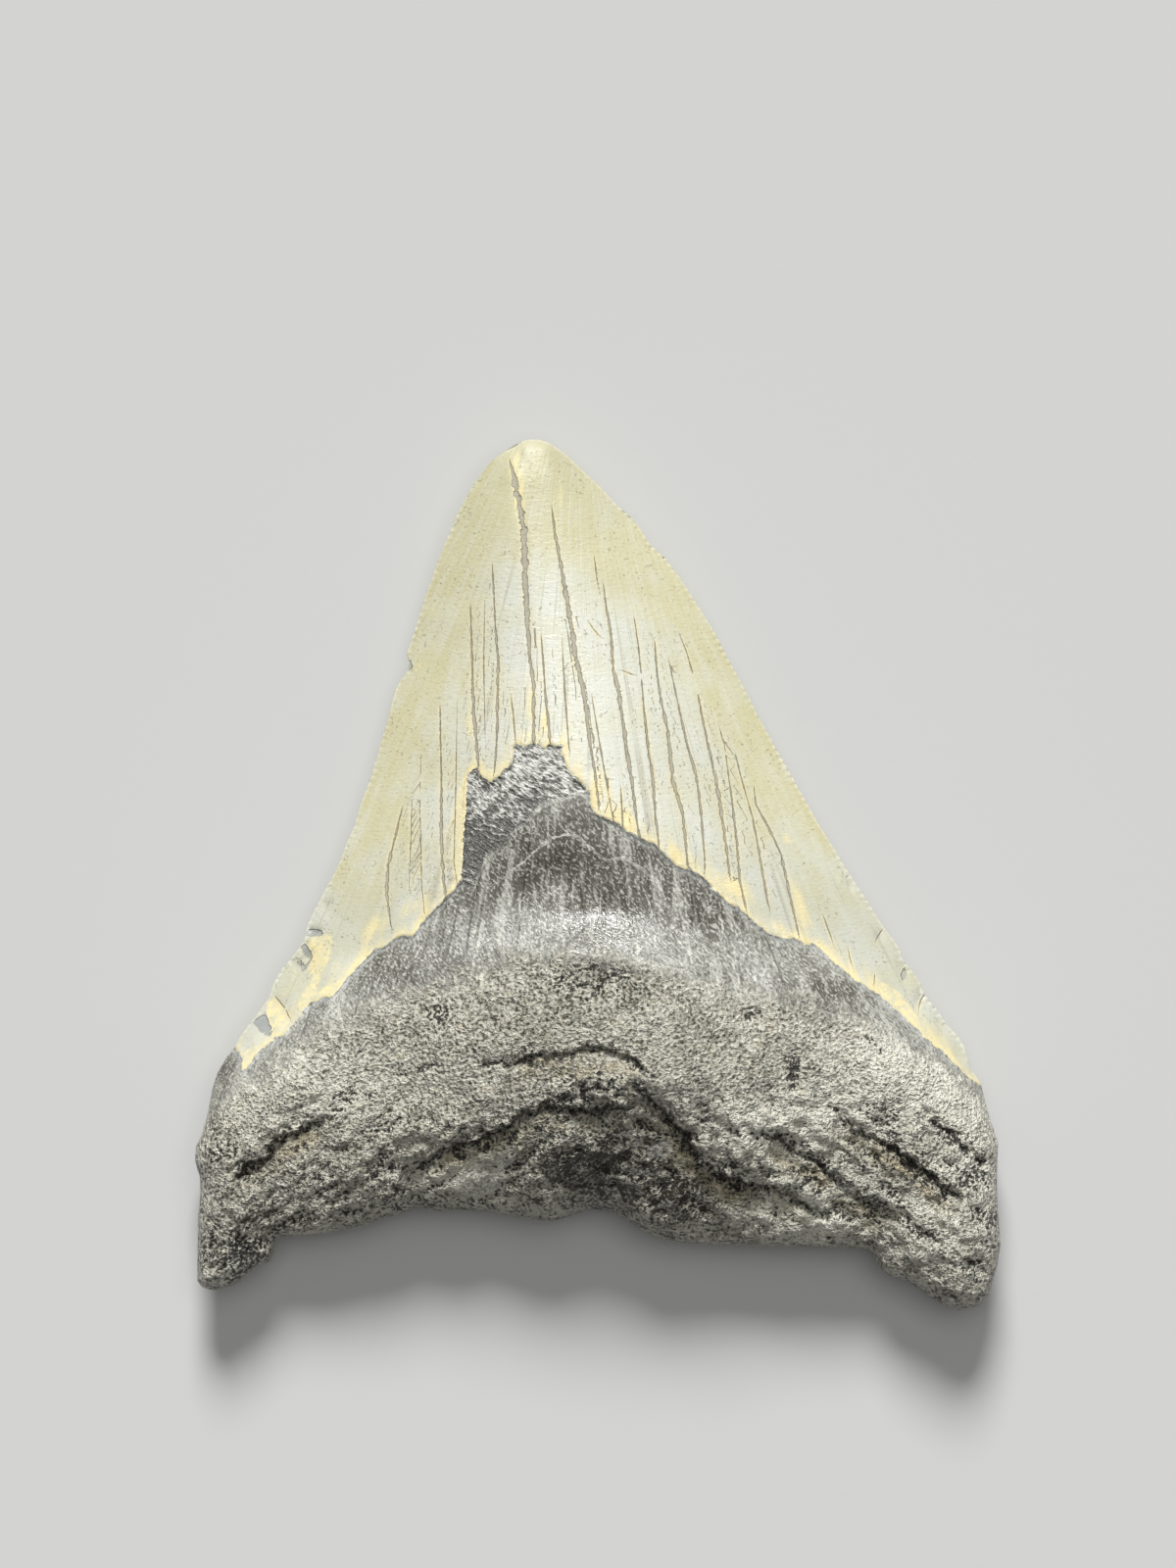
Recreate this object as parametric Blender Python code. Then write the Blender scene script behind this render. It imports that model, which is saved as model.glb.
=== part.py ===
"""Megalodon tooth, one solid, lying on its outer (labial) face with its inner (lingual) face up.

+Z is up and +Y runs from the root to the tip. The outline is given in millimetres, with x from the
middle of the tooth and y from the end of the lower root lobe. The finished solid is moved so that the
middle of its box's underside is the origin.
"""

import math

import bmesh
import bpy
import numpy as np
from mathutils import Vector, noise

MM = 0.001
TINY = 1e-6

# Driving sizes, in millimetres: crown
BLADE_EDGE = 0.6
BLADE_FULLNESS = 1.9
ENAMEL_STEP = 0.7
ENAMEL_RAMP = 0.9
LEAN = -8.5
LEAN_GROWTH = 1.6

# Root: its height at the sides and over the middle, and how wide its edges are rounded
ROOT_SIDE_HEIGHT = 7.6
ROOT_BULGE = 10.0
BULGE_CENTRE = (3.0, 34.0)
BULGE_REACH = (24.0, 15.0)
LOBE_END = (2.0, 16.0)
LOBE_THINNING = 0.28
LOBE_ROUNDING = 5.0
ROOT_ROUNDING = 13.0
LABIAL_ROUNDING = 12.0
LABIAL_SINK = 1.3
REST_SOFTNESS = 0.5

# How far the change from root to crown reaches below and above the base of the crown, on either face
LINGUAL_BLEND = (5.0, 2.0)
LINGUAL_BLEND_MIDDLE = 10.0
BLEND_SPREAD = 25.0
LABIAL_BLEND = (16.0, 8.0)

# Relief of the lingual face
CREST_HEIGHT = 1.0
CREST_REACH = 1.7
CREST_SPREAD = 15.0
LEDGE_FOOT = 1.3
LEDGE_FADE = 5.0
LEDGE_TAPER = 0.2
LUMP_SIZE = 11.0
LUMP_HEIGHT = 1.0
MARGIN_SMOOTHING = 2.5

# Mesh: rows and columns, how far detail is refined and pulled into line, and how far margins are crowded
COLUMNS = 40
ROWS = 46
CROWN_ROW = 0.5
FINE_REACH = 1.3
PULL_REACH = 0.5
PULL_DEPTH = 4.0
MARGIN_CROWDING = 0.62
ARCH_CROWDING = 1.3
SHARP_EDGE = math.radians(50.0)

# The left margin, from the end of the left root lobe up to the corner of the crown
LEFT_ROOT = [
    (-49.0, 2.5), (-50.3, 2.8), (-51.0, 3.7), (-51.0, 6.4), (-50.9, 11.7), (-50.6, 15.0), (-50.7, 17.0),
    (-51.3, 19.0), (-51.2, 20.8), (-50.4, 22.6), (-49.7, 25.0), (-49.1, 28.2), (-48.5, 30.1),
]

# The left cutting edge, with its chips, from the corner of the crown up to the tip
LEFT_BLADE = [
    (-48.5, 30.1), (-47.4, 32.0), (-46.1, 33.8), (-45.5, 35.0), (-43.5, 37.6), (-41.8, 39.9),
    (-41.5, 41.3), (-40.4, 43.3), (-39.3, 44.6), (-38.2, 46.0), (-37.4, 47.3), (-37.1, 48.9),
    (-36.2, 50.8), (-34.3, 54.4), (-32.9, 57.2), (-32.2, 59.2), (-31.1, 61.6), (-30.5, 63.8),
    (-29.1, 67.6), (-28.0, 71.4), (-26.9, 75.1), (-25.9, 78.9), (-25.1, 80.5), (-24.2, 81.5),
    (-24.1, 82.5), (-24.4, 83.6), (-23.5, 86.4), (-22.3, 90.1), (-21.0, 93.9), (-19.6, 97.6),
    (-18.0, 101.4), (-16.0, 105.1), (-13.8, 108.0), (-11.9, 109.4), (-10.4, 110.0),
]

# The right margin, from the end of the right root lobe up to the corner of the crown
RIGHT_ROOT = [
    (46.1, 0.0), (48.5, 0.5), (49.8, 2.0), (50.9, 5.8), (51.3, 8.5), (51.0, 11.6), (50.8, 16.0),
    (50.9, 19.5), (51.0, 21.2), (50.3, 23.4), (49.5, 26.0), (48.8, 28.9),
]

# The right cutting edge, from the corner of the crown up to the tip
RIGHT_BLADE = [
    (48.8, 28.9), (47.4, 31.0), (46.8, 33.4), (45.8, 35.0), (44.6, 36.2), (43.4, 38.0), (41.6, 40.3),
    (41.1, 41.8), (40.0, 43.3), (38.9, 44.6), (38.6, 45.8), (37.8, 47.0), (36.3, 49.0), (34.1, 52.6),
    (32.0, 55.7), (30.4, 58.4), (28.1, 62.0), (25.0, 67.6), (22.9, 71.4), (20.8, 75.1), (18.9, 78.9),
    (14.9, 86.4), (12.6, 90.1), (10.1, 93.9), (8.6, 95.9), (6.6, 97.7), (5.5, 99.5), (3.9, 101.4),
    (2.3, 102.7), (0.8, 104.4), (-1.9, 107.0), (-3.9, 108.9), (-6.2, 110.5),
]

# The worn top of the tip, left to right
TIP = [(-10.4, 110.0), (-9.6, 110.7), (-8.6, 110.9), (-7.3, 110.85), (-6.2, 110.5)]

# The root's lower edge, from lobe to lobe, with a broken corner in each lobe
ROOT_ARCH = [
    (-49.0, 2.5), (-47.2, 2.9), (-45.5, 3.6), (-43.8, 5.4), (-41.8, 6.2), (-41.3, 7.2), (-41.2, 8.6),
    (-40.5, 9.4), (-36.9, 9.5), (-34.0, 9.9), (-29.9, 10.6), (-27.6, 11.6), (-24.6, 12.4), (-22.8, 13.2),
    (-20.5, 12.6), (-17.1, 12.8), (-13.4, 12.5), (-10.0, 11.8), (-5.8, 11.3), (-3.6, 12.0), (-0.8, 12.9),
    (1.9, 12.5), (3.8, 11.4), (5.6, 10.1), (8.3, 9.0), (12.0, 8.5), (16.8, 8.3), (28.1, 8.0),
    (34.5, 7.8), (35.2, 7.0), (35.8, 5.4), (37.0, 4.4), (39.3, 3.8), (41.3, 2.4), (43.5, 0.9),
    (46.1, 0.0),
]

# Where the crown meets the root if no enamel were lost: the mesh's rows follow it
CROWN_BASE = [
    (-48.5, 30.1), (-43.5, 33.0), (-38.4, 37.0), (-32.0, 42.3), (-25.8, 47.3), (-17.3, 54.5),
    (-12.0, 59.5), (-6.0, 62.5), (0.0, 62.5), (3.8, 61.0), (11.4, 56.3), (18.4, 51.1), (23.3, 47.6),
    (28.1, 45.8), (32.4, 42.4), (37.8, 38.4), (43.1, 33.4), (47.3, 29.8), (48.8, 28.9),
]

# The enamel's real lower edge on the lingual face, with the piece that flaked off over the middle
ENAMEL_EDGE = [
    (-53.0, 29.0), (-45.3, 30.6), (-41.5, 34.0), (-38.4, 36.9), (-32.0, 42.2), (-27.8, 46.2),
    (-23.6, 48.0), (-21.0, 51.3), (-17.3, 54.6), (-17.1, 58.0), (-16.9, 63.2), (-16.7, 68.2),
    (-15.7, 69.0), (-14.8, 67.7), (-13.4, 67.6), (-12.3, 68.4), (-10.8, 69.6), (-10.4, 71.7),
    (-4.7, 72.1), (-4.0, 69.4), (-2.4, 67.2), (-1.0, 65.9), (-0.7, 64.2), (0.6, 63.0), (3.8, 61.3),
    (11.4, 56.3), (18.4, 51.1), (23.3, 47.5), (28.1, 46.0), (32.4, 42.4), (37.8, 38.4), (43.1, 33.4),
    (47.3, 29.5), (53.0, 26.0),
]

# The lower edge of the bourlette, the dark band between crown and root: its middle stands up as a crest
BAND_EDGE = [
    (-53.0, 24.0), (-43.8, 29.5), (-38.8, 33.9), (-30.0, 38.2), (-22.5, 41.4), (-16.2, 43.2),
    (-10.0, 45.1), (-6.2, 45.5), (1.4, 44.9), (6.4, 44.0), (11.0, 42.5), (14.8, 41.0), (22.0, 40.4),
    (32.0, 37.6), (37.8, 34.5), (43.5, 31.4), (53.0, 24.0),
]

# Ledges of the root: the line of each, and how far the side below it stands back
LEDGES = [
    ([(-25.0, 16.8), (-20.0, 20.8), (-15.5, 22.2), (-12.0, 24.0), (-7.0, 27.0), (-3.0, 26.7), (1.0, 26.1),
      (6.0, 27.6)], 1.8),
    ([(-12.5, 31.6), (-8.0, 33.1), (-4.5, 33.2), (0.0, 33.8), (3.0, 33.8), (7.5, 30.6)], 1.2),
    ([(3.6, 30.8), (7.2, 27.2), (9.8, 24.5), (12.9, 19.8), (16.0, 17.6), (19.4, 16.3), (23.3, 15.6),
      (30.2, 12.4)], 2.0),
    ([(19.0, 23.2), (22.9, 22.6), (25.0, 20.8), (28.2, 19.5), (31.5, 16.2), (35.0, 13.9),
      (39.5, 11.3)], 1.4),
    ([(29.5, 25.6), (33.2, 23.2), (36.0, 22.0), (38.0, 20.6), (43.5, 16.9), (47.4, 14.0)], 1.5),
    ([(-46.4, 16.8), (-42.9, 19.8), (-40.4, 21.9), (-38.6, 23.3), (-34.0, 25.0)], 1.4),
]

# Pits: centre, half sizes across and along, and depth
PITS = [
    ((24.6, 30.5), (1.1, 2.0), 1.3),
    ((19.5, 38.0), (1.8, 1.1), 0.6),
    ((-20.0, 38.0), (2.2, 1.5), 0.5),
    ((0.5, 41.5), (5.0, 2.6), 1.0),
    ((-45.5, 7.4), (3.6, 2.6), 1.6),
]

# At each distance y from the root's end: the height of the margin, and of the crown over and under it
LEVEL = [0.0, 20.0, 30.0, 40.0, 50.0, 60.0, 70.0, 80.0, 90.0, 100.0, 106.0, 111.0]
MARGIN_HEIGHT = [7.4, 7.4, 6.6, 5.7, 5.0, 4.5, 4.1, 3.9, 4.1, 4.9, 5.6, 6.2]
CROWN_HEIGHT = [13.0, 13.0, 13.0, 12.6, 12.0, 11.2, 10.3, 9.0, 7.3, 5.2, 3.6, 1.4]
LABIAL_DEPTH = [7.4, 7.4, 7.0, 6.4, 5.7, 5.1, 4.6, 4.2, 3.8, 3.0, 2.2, 1.0]

# Colours from the photograph, as linear red, green and blue, with roughness
FINISHES = {
    "enamel": ((0.62, 0.58, 0.40), 0.35),
    "bourlette": ((0.07, 0.07, 0.065), 0.4),
    "root": ((0.16, 0.145, 0.11), 0.8),
}


def smoothstep(low, high, value):
    """0 below low, 1 above high, and a smooth rise between them."""
    share = np.clip((value - low) / (high - low), 0.0, 1.0)
    return share * share * (3.0 - 2.0 * share)


def along(line, share):
    """The points of a polyline at these shares of its length."""
    line = np.array(line)
    reach = np.concatenate([[0.0], np.cumsum(np.hypot(*np.diff(line, axis=0).T))])
    want = np.asarray(share) * reach[-1]
    return np.stack([np.interp(want, reach, line[:, 0]), np.interp(want, reach, line[:, 1])], axis=-1)


def nearest(points, line):
    """For each point: its distance to a polyline, whether it lies left of it, and how far along."""
    line = np.array(line)
    reach = np.concatenate([[0.0], np.cumsum(np.hypot(*np.diff(line, axis=0).T))])
    best = np.full(len(points), np.inf)
    left = np.zeros(len(points), bool)
    travel = np.zeros(len(points))
    for start, end, gone in zip(line[:-1], line[1:], reach):
        run = end - start
        offset = points - start
        share = np.clip(offset @ run / (run @ run), 0.0, 1.0)
        distance = np.hypot(*(offset - share[:, None] * run).T)
        turn = run[0] * offset[:, 1] - run[1] * offset[:, 0]
        closer = distance < best
        left[closer] = turn[closer] > -TINY
        travel[closer] = gone + share[closer] * np.hypot(*run)
        best = np.minimum(best, distance)
    return best, left, travel / reach[-1]


def outline():
    """The closed outline of the tooth in plan."""
    up_the_left = LEFT_ROOT + LEFT_BLADE[1:] + TIP[1:]
    down_the_right = RIGHT_BLADE[::-1][1:] + RIGHT_ROOT[::-1][1:]
    return up_the_left + down_the_right + ROOT_ARCH[::-1][1:]


def patch(low, high, left, right, across, up):
    """Points of the surface patch spanned by four border lines, for shares across and up it."""
    a, u = across[:, None], up[:, None]
    bottom, top = along(low, across), along(high, across)
    west, east = along(left, up), along(right, up)
    corners = (
        (1 - a) * (1 - u) * np.array(low[0]) + a * (1 - u) * np.array(low[-1])
        + (1 - a) * u * np.array(high[0]) + a * u * np.array(high[-1])
    )
    return (1 - u) * bottom + u * top + (1 - a) * west + a * east - corners


def plan(across, up):
    """Where the mesh's shares across and up the tooth lie in plan: a root patch under a crown patch."""
    spot = np.zeros((len(across), 2))
    root = up <= CROWN_ROW
    spot[root] = patch(ROOT_ARCH, CROWN_BASE, LEFT_ROOT, RIGHT_ROOT, across[root], up[root] / CROWN_ROW)
    crown_up = (up[~root] - CROWN_ROW) / (1 - CROWN_ROW)
    spot[~root] = patch(CROWN_BASE, TIP, LEFT_BLADE, RIGHT_BLADE, across[~root], crown_up)
    return spot


def middle_line(y):
    """The x of the crown's middle line, which leans to the left towards the tip."""
    return LEAN * np.clip(y / LEVEL[-1], 0.0, 1.0) ** LEAN_GROWTH


def lens(share):
    """A blade's section: 0 at its edge, 1 and level at its middle."""
    return 1.0 - (1.0 - np.clip(share, 0.0, 1.0)) ** BLADE_FULLNESS


def dome(share):
    """A rounded edge: a quarter circle from 0 up to 1."""
    return np.sqrt(1.0 - (1.0 - np.clip(share, 0.0, 1.0)) ** 2)


def bell(spot, centre, reach):
    """1 at a centre, falling smoothly to 0 round it."""
    return np.exp(-(((spot - centre) / reach) ** 2).sum(axis=1))


def level_below(height):
    """The labial face rests on the surface: what would lie below 0 is level, with a soft rise."""
    soft = (np.clip(height, -REST_SOFTNESS, REST_SOFTNESS) + REST_SOFTNESS) ** 2 / (4.0 * REST_SOFTNESS)
    return np.where(height > REST_SOFTNESS, height, soft)


def crown_share(spot, below, above):
    """0 on the root, 1 on the crown, with a smooth change across the base of the crown."""
    base = np.array(CROWN_BASE)
    over = spot[:, 1] - np.interp(spot[:, 0], base[:, 0], base[:, 1])
    return smoothstep(-below, above, over)


def blade_share(spot, depth):
    """0 at the cutting edge, 1 on the middle line of the crown."""
    levels = np.linspace(0.0, LEVEL[-1], 80)
    half_widths = nearest(np.stack([middle_line(levels), levels], axis=-1), outline())[0]
    return depth / np.interp(spot[:, 1], levels, np.maximum(half_widths, 1.0))


def faces_of_tooth(spot, depth):
    """The smooth heights of the lingual and the labial face at each point of the plan."""
    x, y = spot.T
    margin = np.interp(y, LEVEL, MARGIN_HEIGHT)
    blade = lens(blade_share(spot, depth))
    crown_rise = np.interp(y, LEVEL, CROWN_HEIGHT) * blade
    crown_sink = np.interp(y, LEVEL, LABIAL_DEPTH) * blade

    bulge = bell(spot, BULGE_CENTRE, BULGE_REACH)
    past_lobe = smoothstep(*LOBE_END, y)
    rounding = dome(depth / (LOBE_ROUNDING + (ROOT_ROUNDING - LOBE_ROUNDING) * past_lobe))
    side_height = ROOT_SIDE_HEIGHT * (1.0 - LOBE_THINNING * (1.0 - past_lobe))
    root_rise = (side_height + ROOT_BULGE * bulge) * rounding
    root_sink = margin * dome(depth / LABIAL_ROUNDING) + LABIAL_SINK * smoothstep(4.0, 16.0, depth)

    below, above = LINGUAL_BLEND
    lingual_share = crown_share(spot, below + LINGUAL_BLEND_MIDDLE * np.exp(-((x / BLEND_SPREAD) ** 2)), above)
    labial_share = crown_share(spot, *LABIAL_BLEND)
    rise = root_rise + (crown_rise - root_rise) * lingual_share
    sink = root_sink + (crown_sink - root_sink) * labial_share
    return margin + BLADE_EDGE / 2 + rise, level_below(margin - BLADE_EDGE / 2 - sink)


def relief(spot, depth):
    """What stands proud of the smooth lingual face: the enamel, crest, ledges, pits and lumps."""
    distance, over, _ = nearest(spot, ENAMEL_EDGE)
    rise = ENAMEL_STEP * smoothstep(-ENAMEL_RAMP, 0.0, np.where(over, 0.0, -distance))
    crest = nearest(spot, BAND_EDGE)[0]
    rise += CREST_HEIGHT * np.exp(-((crest / CREST_REACH) ** 2) - (spot[:, 0] / CREST_SPREAD) ** 2)
    for line, drop in LEDGES:
        away, above, share = nearest(spot, line)
        taper = smoothstep(0.0, LEDGE_TAPER, np.minimum(share, 1.0 - share))
        step = drop * taper * smoothstep(0.0, LEDGE_FOOT, away) * np.exp(-away / LEDGE_FADE)
        rise -= np.where(above, 0.0, step)
    for centre, reach, deep in PITS:
        rise -= deep * bell(spot, centre, reach)
    lumps = [noise.fractal(Vector((*point, 0.0)) / LUMP_SIZE, 0.8, 2.4, 2) for point in spot]
    rise += LUMP_HEIGHT * np.array(lumps) * (1.0 - crown_share(spot, 8.0, 0.0))
    return rise * smoothstep(0.0, MARGIN_SMOOTHING, depth)


def near_detail(spot):
    """Whether each point lies by an edge, ledge or pit that needs the finer mesh."""
    close = nearest(spot, ENAMEL_EDGE)[0] < FINE_REACH
    for line, _ in LEDGES:
        close |= nearest(spot, line)[0] < FINE_REACH
    for centre, reach, _ in PITS:
        close |= (((spot - centre) / reach) ** 2).sum(axis=1) < 1.5
    return close


def pull_into_line(spot, movable):
    """Moves points that nearly lie on an edge or ledge onto it, so that it runs clean through the mesh."""
    for line in [BAND_EDGE, ENAMEL_EDGE] + [line for line, _ in LEDGES]:
        distance, _, share = nearest(spot, line)
        pulled = movable & (distance < PULL_REACH)
        spot[pulled] = along(line, share[pulled])


def shares_of(points):
    """Shares across and up the tooth from the flat grid's points, closer together at the margins."""
    across, up = np.clip(np.array(points)[:, :2].T + 0.5, 0.0, 1.0)
    across = across - MARGIN_CROWDING * np.sin(2 * np.pi * across) / (2 * np.pi)
    root_up = CROWN_ROW * (np.minimum(up, CROWN_ROW) / CROWN_ROW) ** ARCH_CROWDING
    return across, np.where(up < CROWN_ROW, root_up, up)


def sheet_pair():
    """Two flat unit grids joined at their borders, the upper one finer by the details."""
    shape = bmesh.new()
    bmesh.ops.create_grid(shape, x_segments=COLUMNS, y_segments=ROWS, size=0.5)
    raised = bmesh.ops.extrude_face_region(shape, geom=shape.faces[:], use_keep_orig=True)
    upper = [part for part in raised["geom"] if isinstance(part, bmesh.types.BMVert)]
    bmesh.ops.translate(shape, vec=(0.0, 0.0, 1.0), verts=upper)
    top_faces = [face for face in shape.faces if all(vert.co.z > 0.5 for vert in face.verts)]
    close = near_detail(plan(*shares_of([face.calc_center_median() for face in top_faces])))
    edges = {edge for face, wanted in zip(top_faces, close) if wanted for edge in face.edges}
    bmesh.ops.subdivide_edges(shape, edges=list(edges), cuts=1, use_grid_fill=True)
    return shape


def raise_surfaces(shape):
    """Moves the flat grids' points onto the tooth's two faces."""
    across, up = shares_of([vert.co for vert in shape.verts])
    is_top = np.array([vert.co.z > 0.5 for vert in shape.verts])
    spot = plan(across, up)
    pull_into_line(spot, is_top & (nearest(spot, outline())[0] > PULL_DEPTH))
    depth = nearest(spot, outline())[0]
    top, low = faces_of_tooth(spot, depth)
    top += relief(spot, depth)
    height = np.where(is_top, top, low)
    centre = (spot.min(axis=0) + spot.max(axis=0)) / 2
    for vert, (x, y), z in zip(shape.verts, spot - centre, height):
        vert.co = (x * MM, y * MM, z * MM)
    return centre


def merge_flat_underside(shape):
    """The labial face is flat where the tooth rests, so its level faces become one."""
    level = {face for face in shape.faces if all(vert.co.z < TINY * MM for vert in face.verts)}
    edges = {edge for face in level for edge in face.edges if level.issuperset(edge.link_faces)}
    bmesh.ops.dissolve_edges(shape, edges=list(edges), use_verts=True)


def make_material(name, colour, roughness):
    material = bpy.data.materials.new(name)
    material.use_nodes = True
    surface = material.node_tree.nodes["Principled BSDF"]
    surface.inputs["Base Color"].default_value = (*colour, 1.0)
    surface.inputs["Roughness"].default_value = roughness
    surface.inputs["Metallic"].default_value = 0.0
    material.diffuse_color = (*colour, 1.0)
    return material


def paint(shape, centre):
    """Gives each face the finish of the part of the tooth that it lies on."""
    shape.faces.ensure_lookup_table()
    spot = np.array([face.calc_center_median()[:2] for face in shape.faces]) / MM + centre
    enamel = nearest(spot, ENAMEL_EDGE)[1]
    band = nearest(spot, BAND_EDGE)[1]
    for face, is_enamel, is_band in zip(shape.faces, enamel, band):
        face.material_index = 0 if is_enamel else 1 if is_band else 2
        face.smooth = True


def make_tooth():
    shape = sheet_pair()
    centre = raise_surfaces(shape)
    merge_flat_underside(shape)
    bmesh.ops.recalc_face_normals(shape, faces=shape.faces[:])
    paint(shape, centre)
    mesh = bpy.data.meshes.new("tooth")
    shape.to_mesh(mesh)
    shape.free()
    for name, (colour, roughness) in FINISHES.items():
        mesh.materials.append(make_material(name, colour, roughness))
    tooth = bpy.data.objects.new("tooth", mesh)
    bpy.context.scene.collection.objects.link(tooth)
    mesh.set_sharp_from_angle(angle=SHARP_EDGE)
    return tooth


def main():
    for old in list(bpy.data.objects):
        bpy.data.objects.remove(old, do_unlink=True)
    make_tooth()


main()
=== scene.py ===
"""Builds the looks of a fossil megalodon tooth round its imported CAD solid, laid out as a Blender add-on.

The tooth lies on its outer (labial) face. Plan positions are in millimetres, with x from the middle of
the tooth and y from the end of the lower root lobe, until the finished mesh is moved onto the solid.
"""

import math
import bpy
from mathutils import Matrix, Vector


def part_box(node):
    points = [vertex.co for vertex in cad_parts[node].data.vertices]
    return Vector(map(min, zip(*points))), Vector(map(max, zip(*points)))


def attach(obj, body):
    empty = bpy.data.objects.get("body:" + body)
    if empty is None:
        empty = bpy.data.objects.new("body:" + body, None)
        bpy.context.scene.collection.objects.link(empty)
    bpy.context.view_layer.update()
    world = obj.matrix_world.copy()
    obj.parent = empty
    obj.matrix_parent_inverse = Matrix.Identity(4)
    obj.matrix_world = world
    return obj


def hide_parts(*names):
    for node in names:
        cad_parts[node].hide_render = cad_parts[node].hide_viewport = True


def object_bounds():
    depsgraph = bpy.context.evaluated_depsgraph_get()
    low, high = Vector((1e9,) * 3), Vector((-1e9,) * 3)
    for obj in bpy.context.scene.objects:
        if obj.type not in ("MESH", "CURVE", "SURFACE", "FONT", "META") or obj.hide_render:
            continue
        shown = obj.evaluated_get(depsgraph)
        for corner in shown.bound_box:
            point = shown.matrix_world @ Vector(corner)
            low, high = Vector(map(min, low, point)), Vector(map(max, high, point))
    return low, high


bl_info = {
    "name": "Megalodon tooth",
    "version": (1, 0, 0),
    "blender": (4, 5, 0),
    "location": "3D View > Sidebar > Fossil",
    "description": "A fossil shark tooth lying on a pale floor",
    "category": "Add Mesh",
}

import bmesh
import bpy
import numpy as np
from bpy.props import FloatProperty, FloatVectorProperty, PointerProperty
from mathutils import Vector, noise

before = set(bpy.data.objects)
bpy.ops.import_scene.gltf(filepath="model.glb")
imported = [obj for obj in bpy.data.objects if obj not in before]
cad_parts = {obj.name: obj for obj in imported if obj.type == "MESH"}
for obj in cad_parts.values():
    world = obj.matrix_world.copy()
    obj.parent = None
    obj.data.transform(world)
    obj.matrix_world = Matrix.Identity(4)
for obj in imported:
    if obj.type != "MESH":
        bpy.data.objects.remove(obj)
CAD_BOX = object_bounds()
MM = 0.001
TINY = 1e-6

# Outline of the tooth: left margin, left cutting edge, tip, right cutting edge, right margin, root arch
LEFT_ROOT = [
    (-49.0, 2.5), (-50.3, 2.8), (-51.0, 3.7), (-51.0, 6.4), (-50.9, 11.7), (-50.6, 15.0), (-50.7, 17.0),
    (-51.3, 19.0), (-51.2, 20.8), (-50.4, 22.6), (-49.7, 25.0), (-49.1, 28.2), (-48.5, 30.1),
]
LEFT_BLADE = [
    (-48.5, 30.1), (-47.4, 32.0), (-46.1, 33.8), (-45.5, 35.0), (-43.5, 37.6), (-41.8, 39.9),
    (-41.5, 41.3), (-40.4, 43.3), (-39.3, 44.6), (-38.2, 46.0), (-37.4, 47.3), (-37.1, 48.9),
    (-36.2, 50.8), (-34.3, 54.4), (-32.9, 57.2), (-32.2, 59.2), (-31.1, 61.6), (-30.5, 63.8),
    (-29.1, 67.6), (-28.0, 71.4), (-26.9, 75.1), (-25.9, 78.9), (-25.1, 80.5), (-24.2, 81.5),
    (-24.1, 82.5), (-24.4, 83.6), (-23.5, 86.4), (-22.3, 90.1), (-21.0, 93.9), (-19.6, 97.6),
    (-18.0, 101.4), (-16.0, 105.1), (-13.8, 108.0), (-11.9, 109.4), (-10.4, 110.0),
]
TIP = [(-10.4, 110.0), (-9.6, 110.7), (-8.6, 110.9), (-7.3, 110.85), (-6.2, 110.5)]
RIGHT_BLADE = [
    (48.8, 28.9), (47.4, 31.0), (46.8, 33.4), (45.8, 35.0), (44.6, 36.2), (43.4, 38.0), (41.6, 40.3),
    (41.1, 41.8), (40.0, 43.3), (38.9, 44.6), (38.6, 45.8), (37.8, 47.0), (36.3, 49.0), (34.1, 52.6),
    (32.0, 55.7), (30.4, 58.4), (28.1, 62.0), (25.0, 67.6), (22.9, 71.4), (20.8, 75.1), (18.9, 78.9),
    (14.9, 86.4), (12.6, 90.1), (10.1, 93.9), (8.6, 95.9), (6.6, 97.7), (5.5, 99.5), (3.9, 101.4),
    (2.3, 102.7), (0.8, 104.4), (-1.9, 107.0), (-3.9, 108.9), (-6.2, 110.5),
]
RIGHT_ROOT = [
    (46.1, 0.0), (48.5, 0.5), (49.8, 2.0), (50.9, 5.8), (51.3, 8.5), (51.0, 11.6), (50.8, 16.0),
    (50.9, 19.5), (51.0, 21.2), (50.3, 23.4), (49.5, 26.0), (48.8, 28.9),
]
ROOT_ARCH = [
    (-49.0, 2.5), (-47.2, 2.9), (-45.5, 3.6), (-43.8, 5.4), (-41.8, 6.2), (-41.3, 7.2), (-41.2, 8.6),
    (-40.5, 9.4), (-36.9, 9.5), (-34.0, 9.9), (-29.9, 10.6), (-27.6, 11.6), (-24.6, 12.4), (-22.8, 13.2),
    (-20.5, 12.6), (-17.1, 12.8), (-13.4, 12.5), (-10.0, 11.8), (-5.8, 11.3), (-3.6, 12.0), (-0.8, 12.9),
    (1.9, 12.5), (3.8, 11.4), (5.6, 10.1), (8.3, 9.0), (12.0, 8.5), (16.8, 8.3), (28.1, 8.0),
    (34.5, 7.8), (35.2, 7.0), (35.8, 5.4), (37.0, 4.4), (39.3, 3.8), (41.3, 2.4), (43.5, 0.9),
    (46.1, 0.0),
]


def ring(left, right):
    """The whole outline, clockwise from the left lobe's end, with these cutting edges."""
    return LEFT_ROOT + left[1:] + TIP[1:] + right[::-1][1:] + RIGHT_ROOT[::-1][1:] + ROOT_ARCH[::-1][1:]


OUTLINE = ring(LEFT_BLADE, RIGHT_BLADE)

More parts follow.
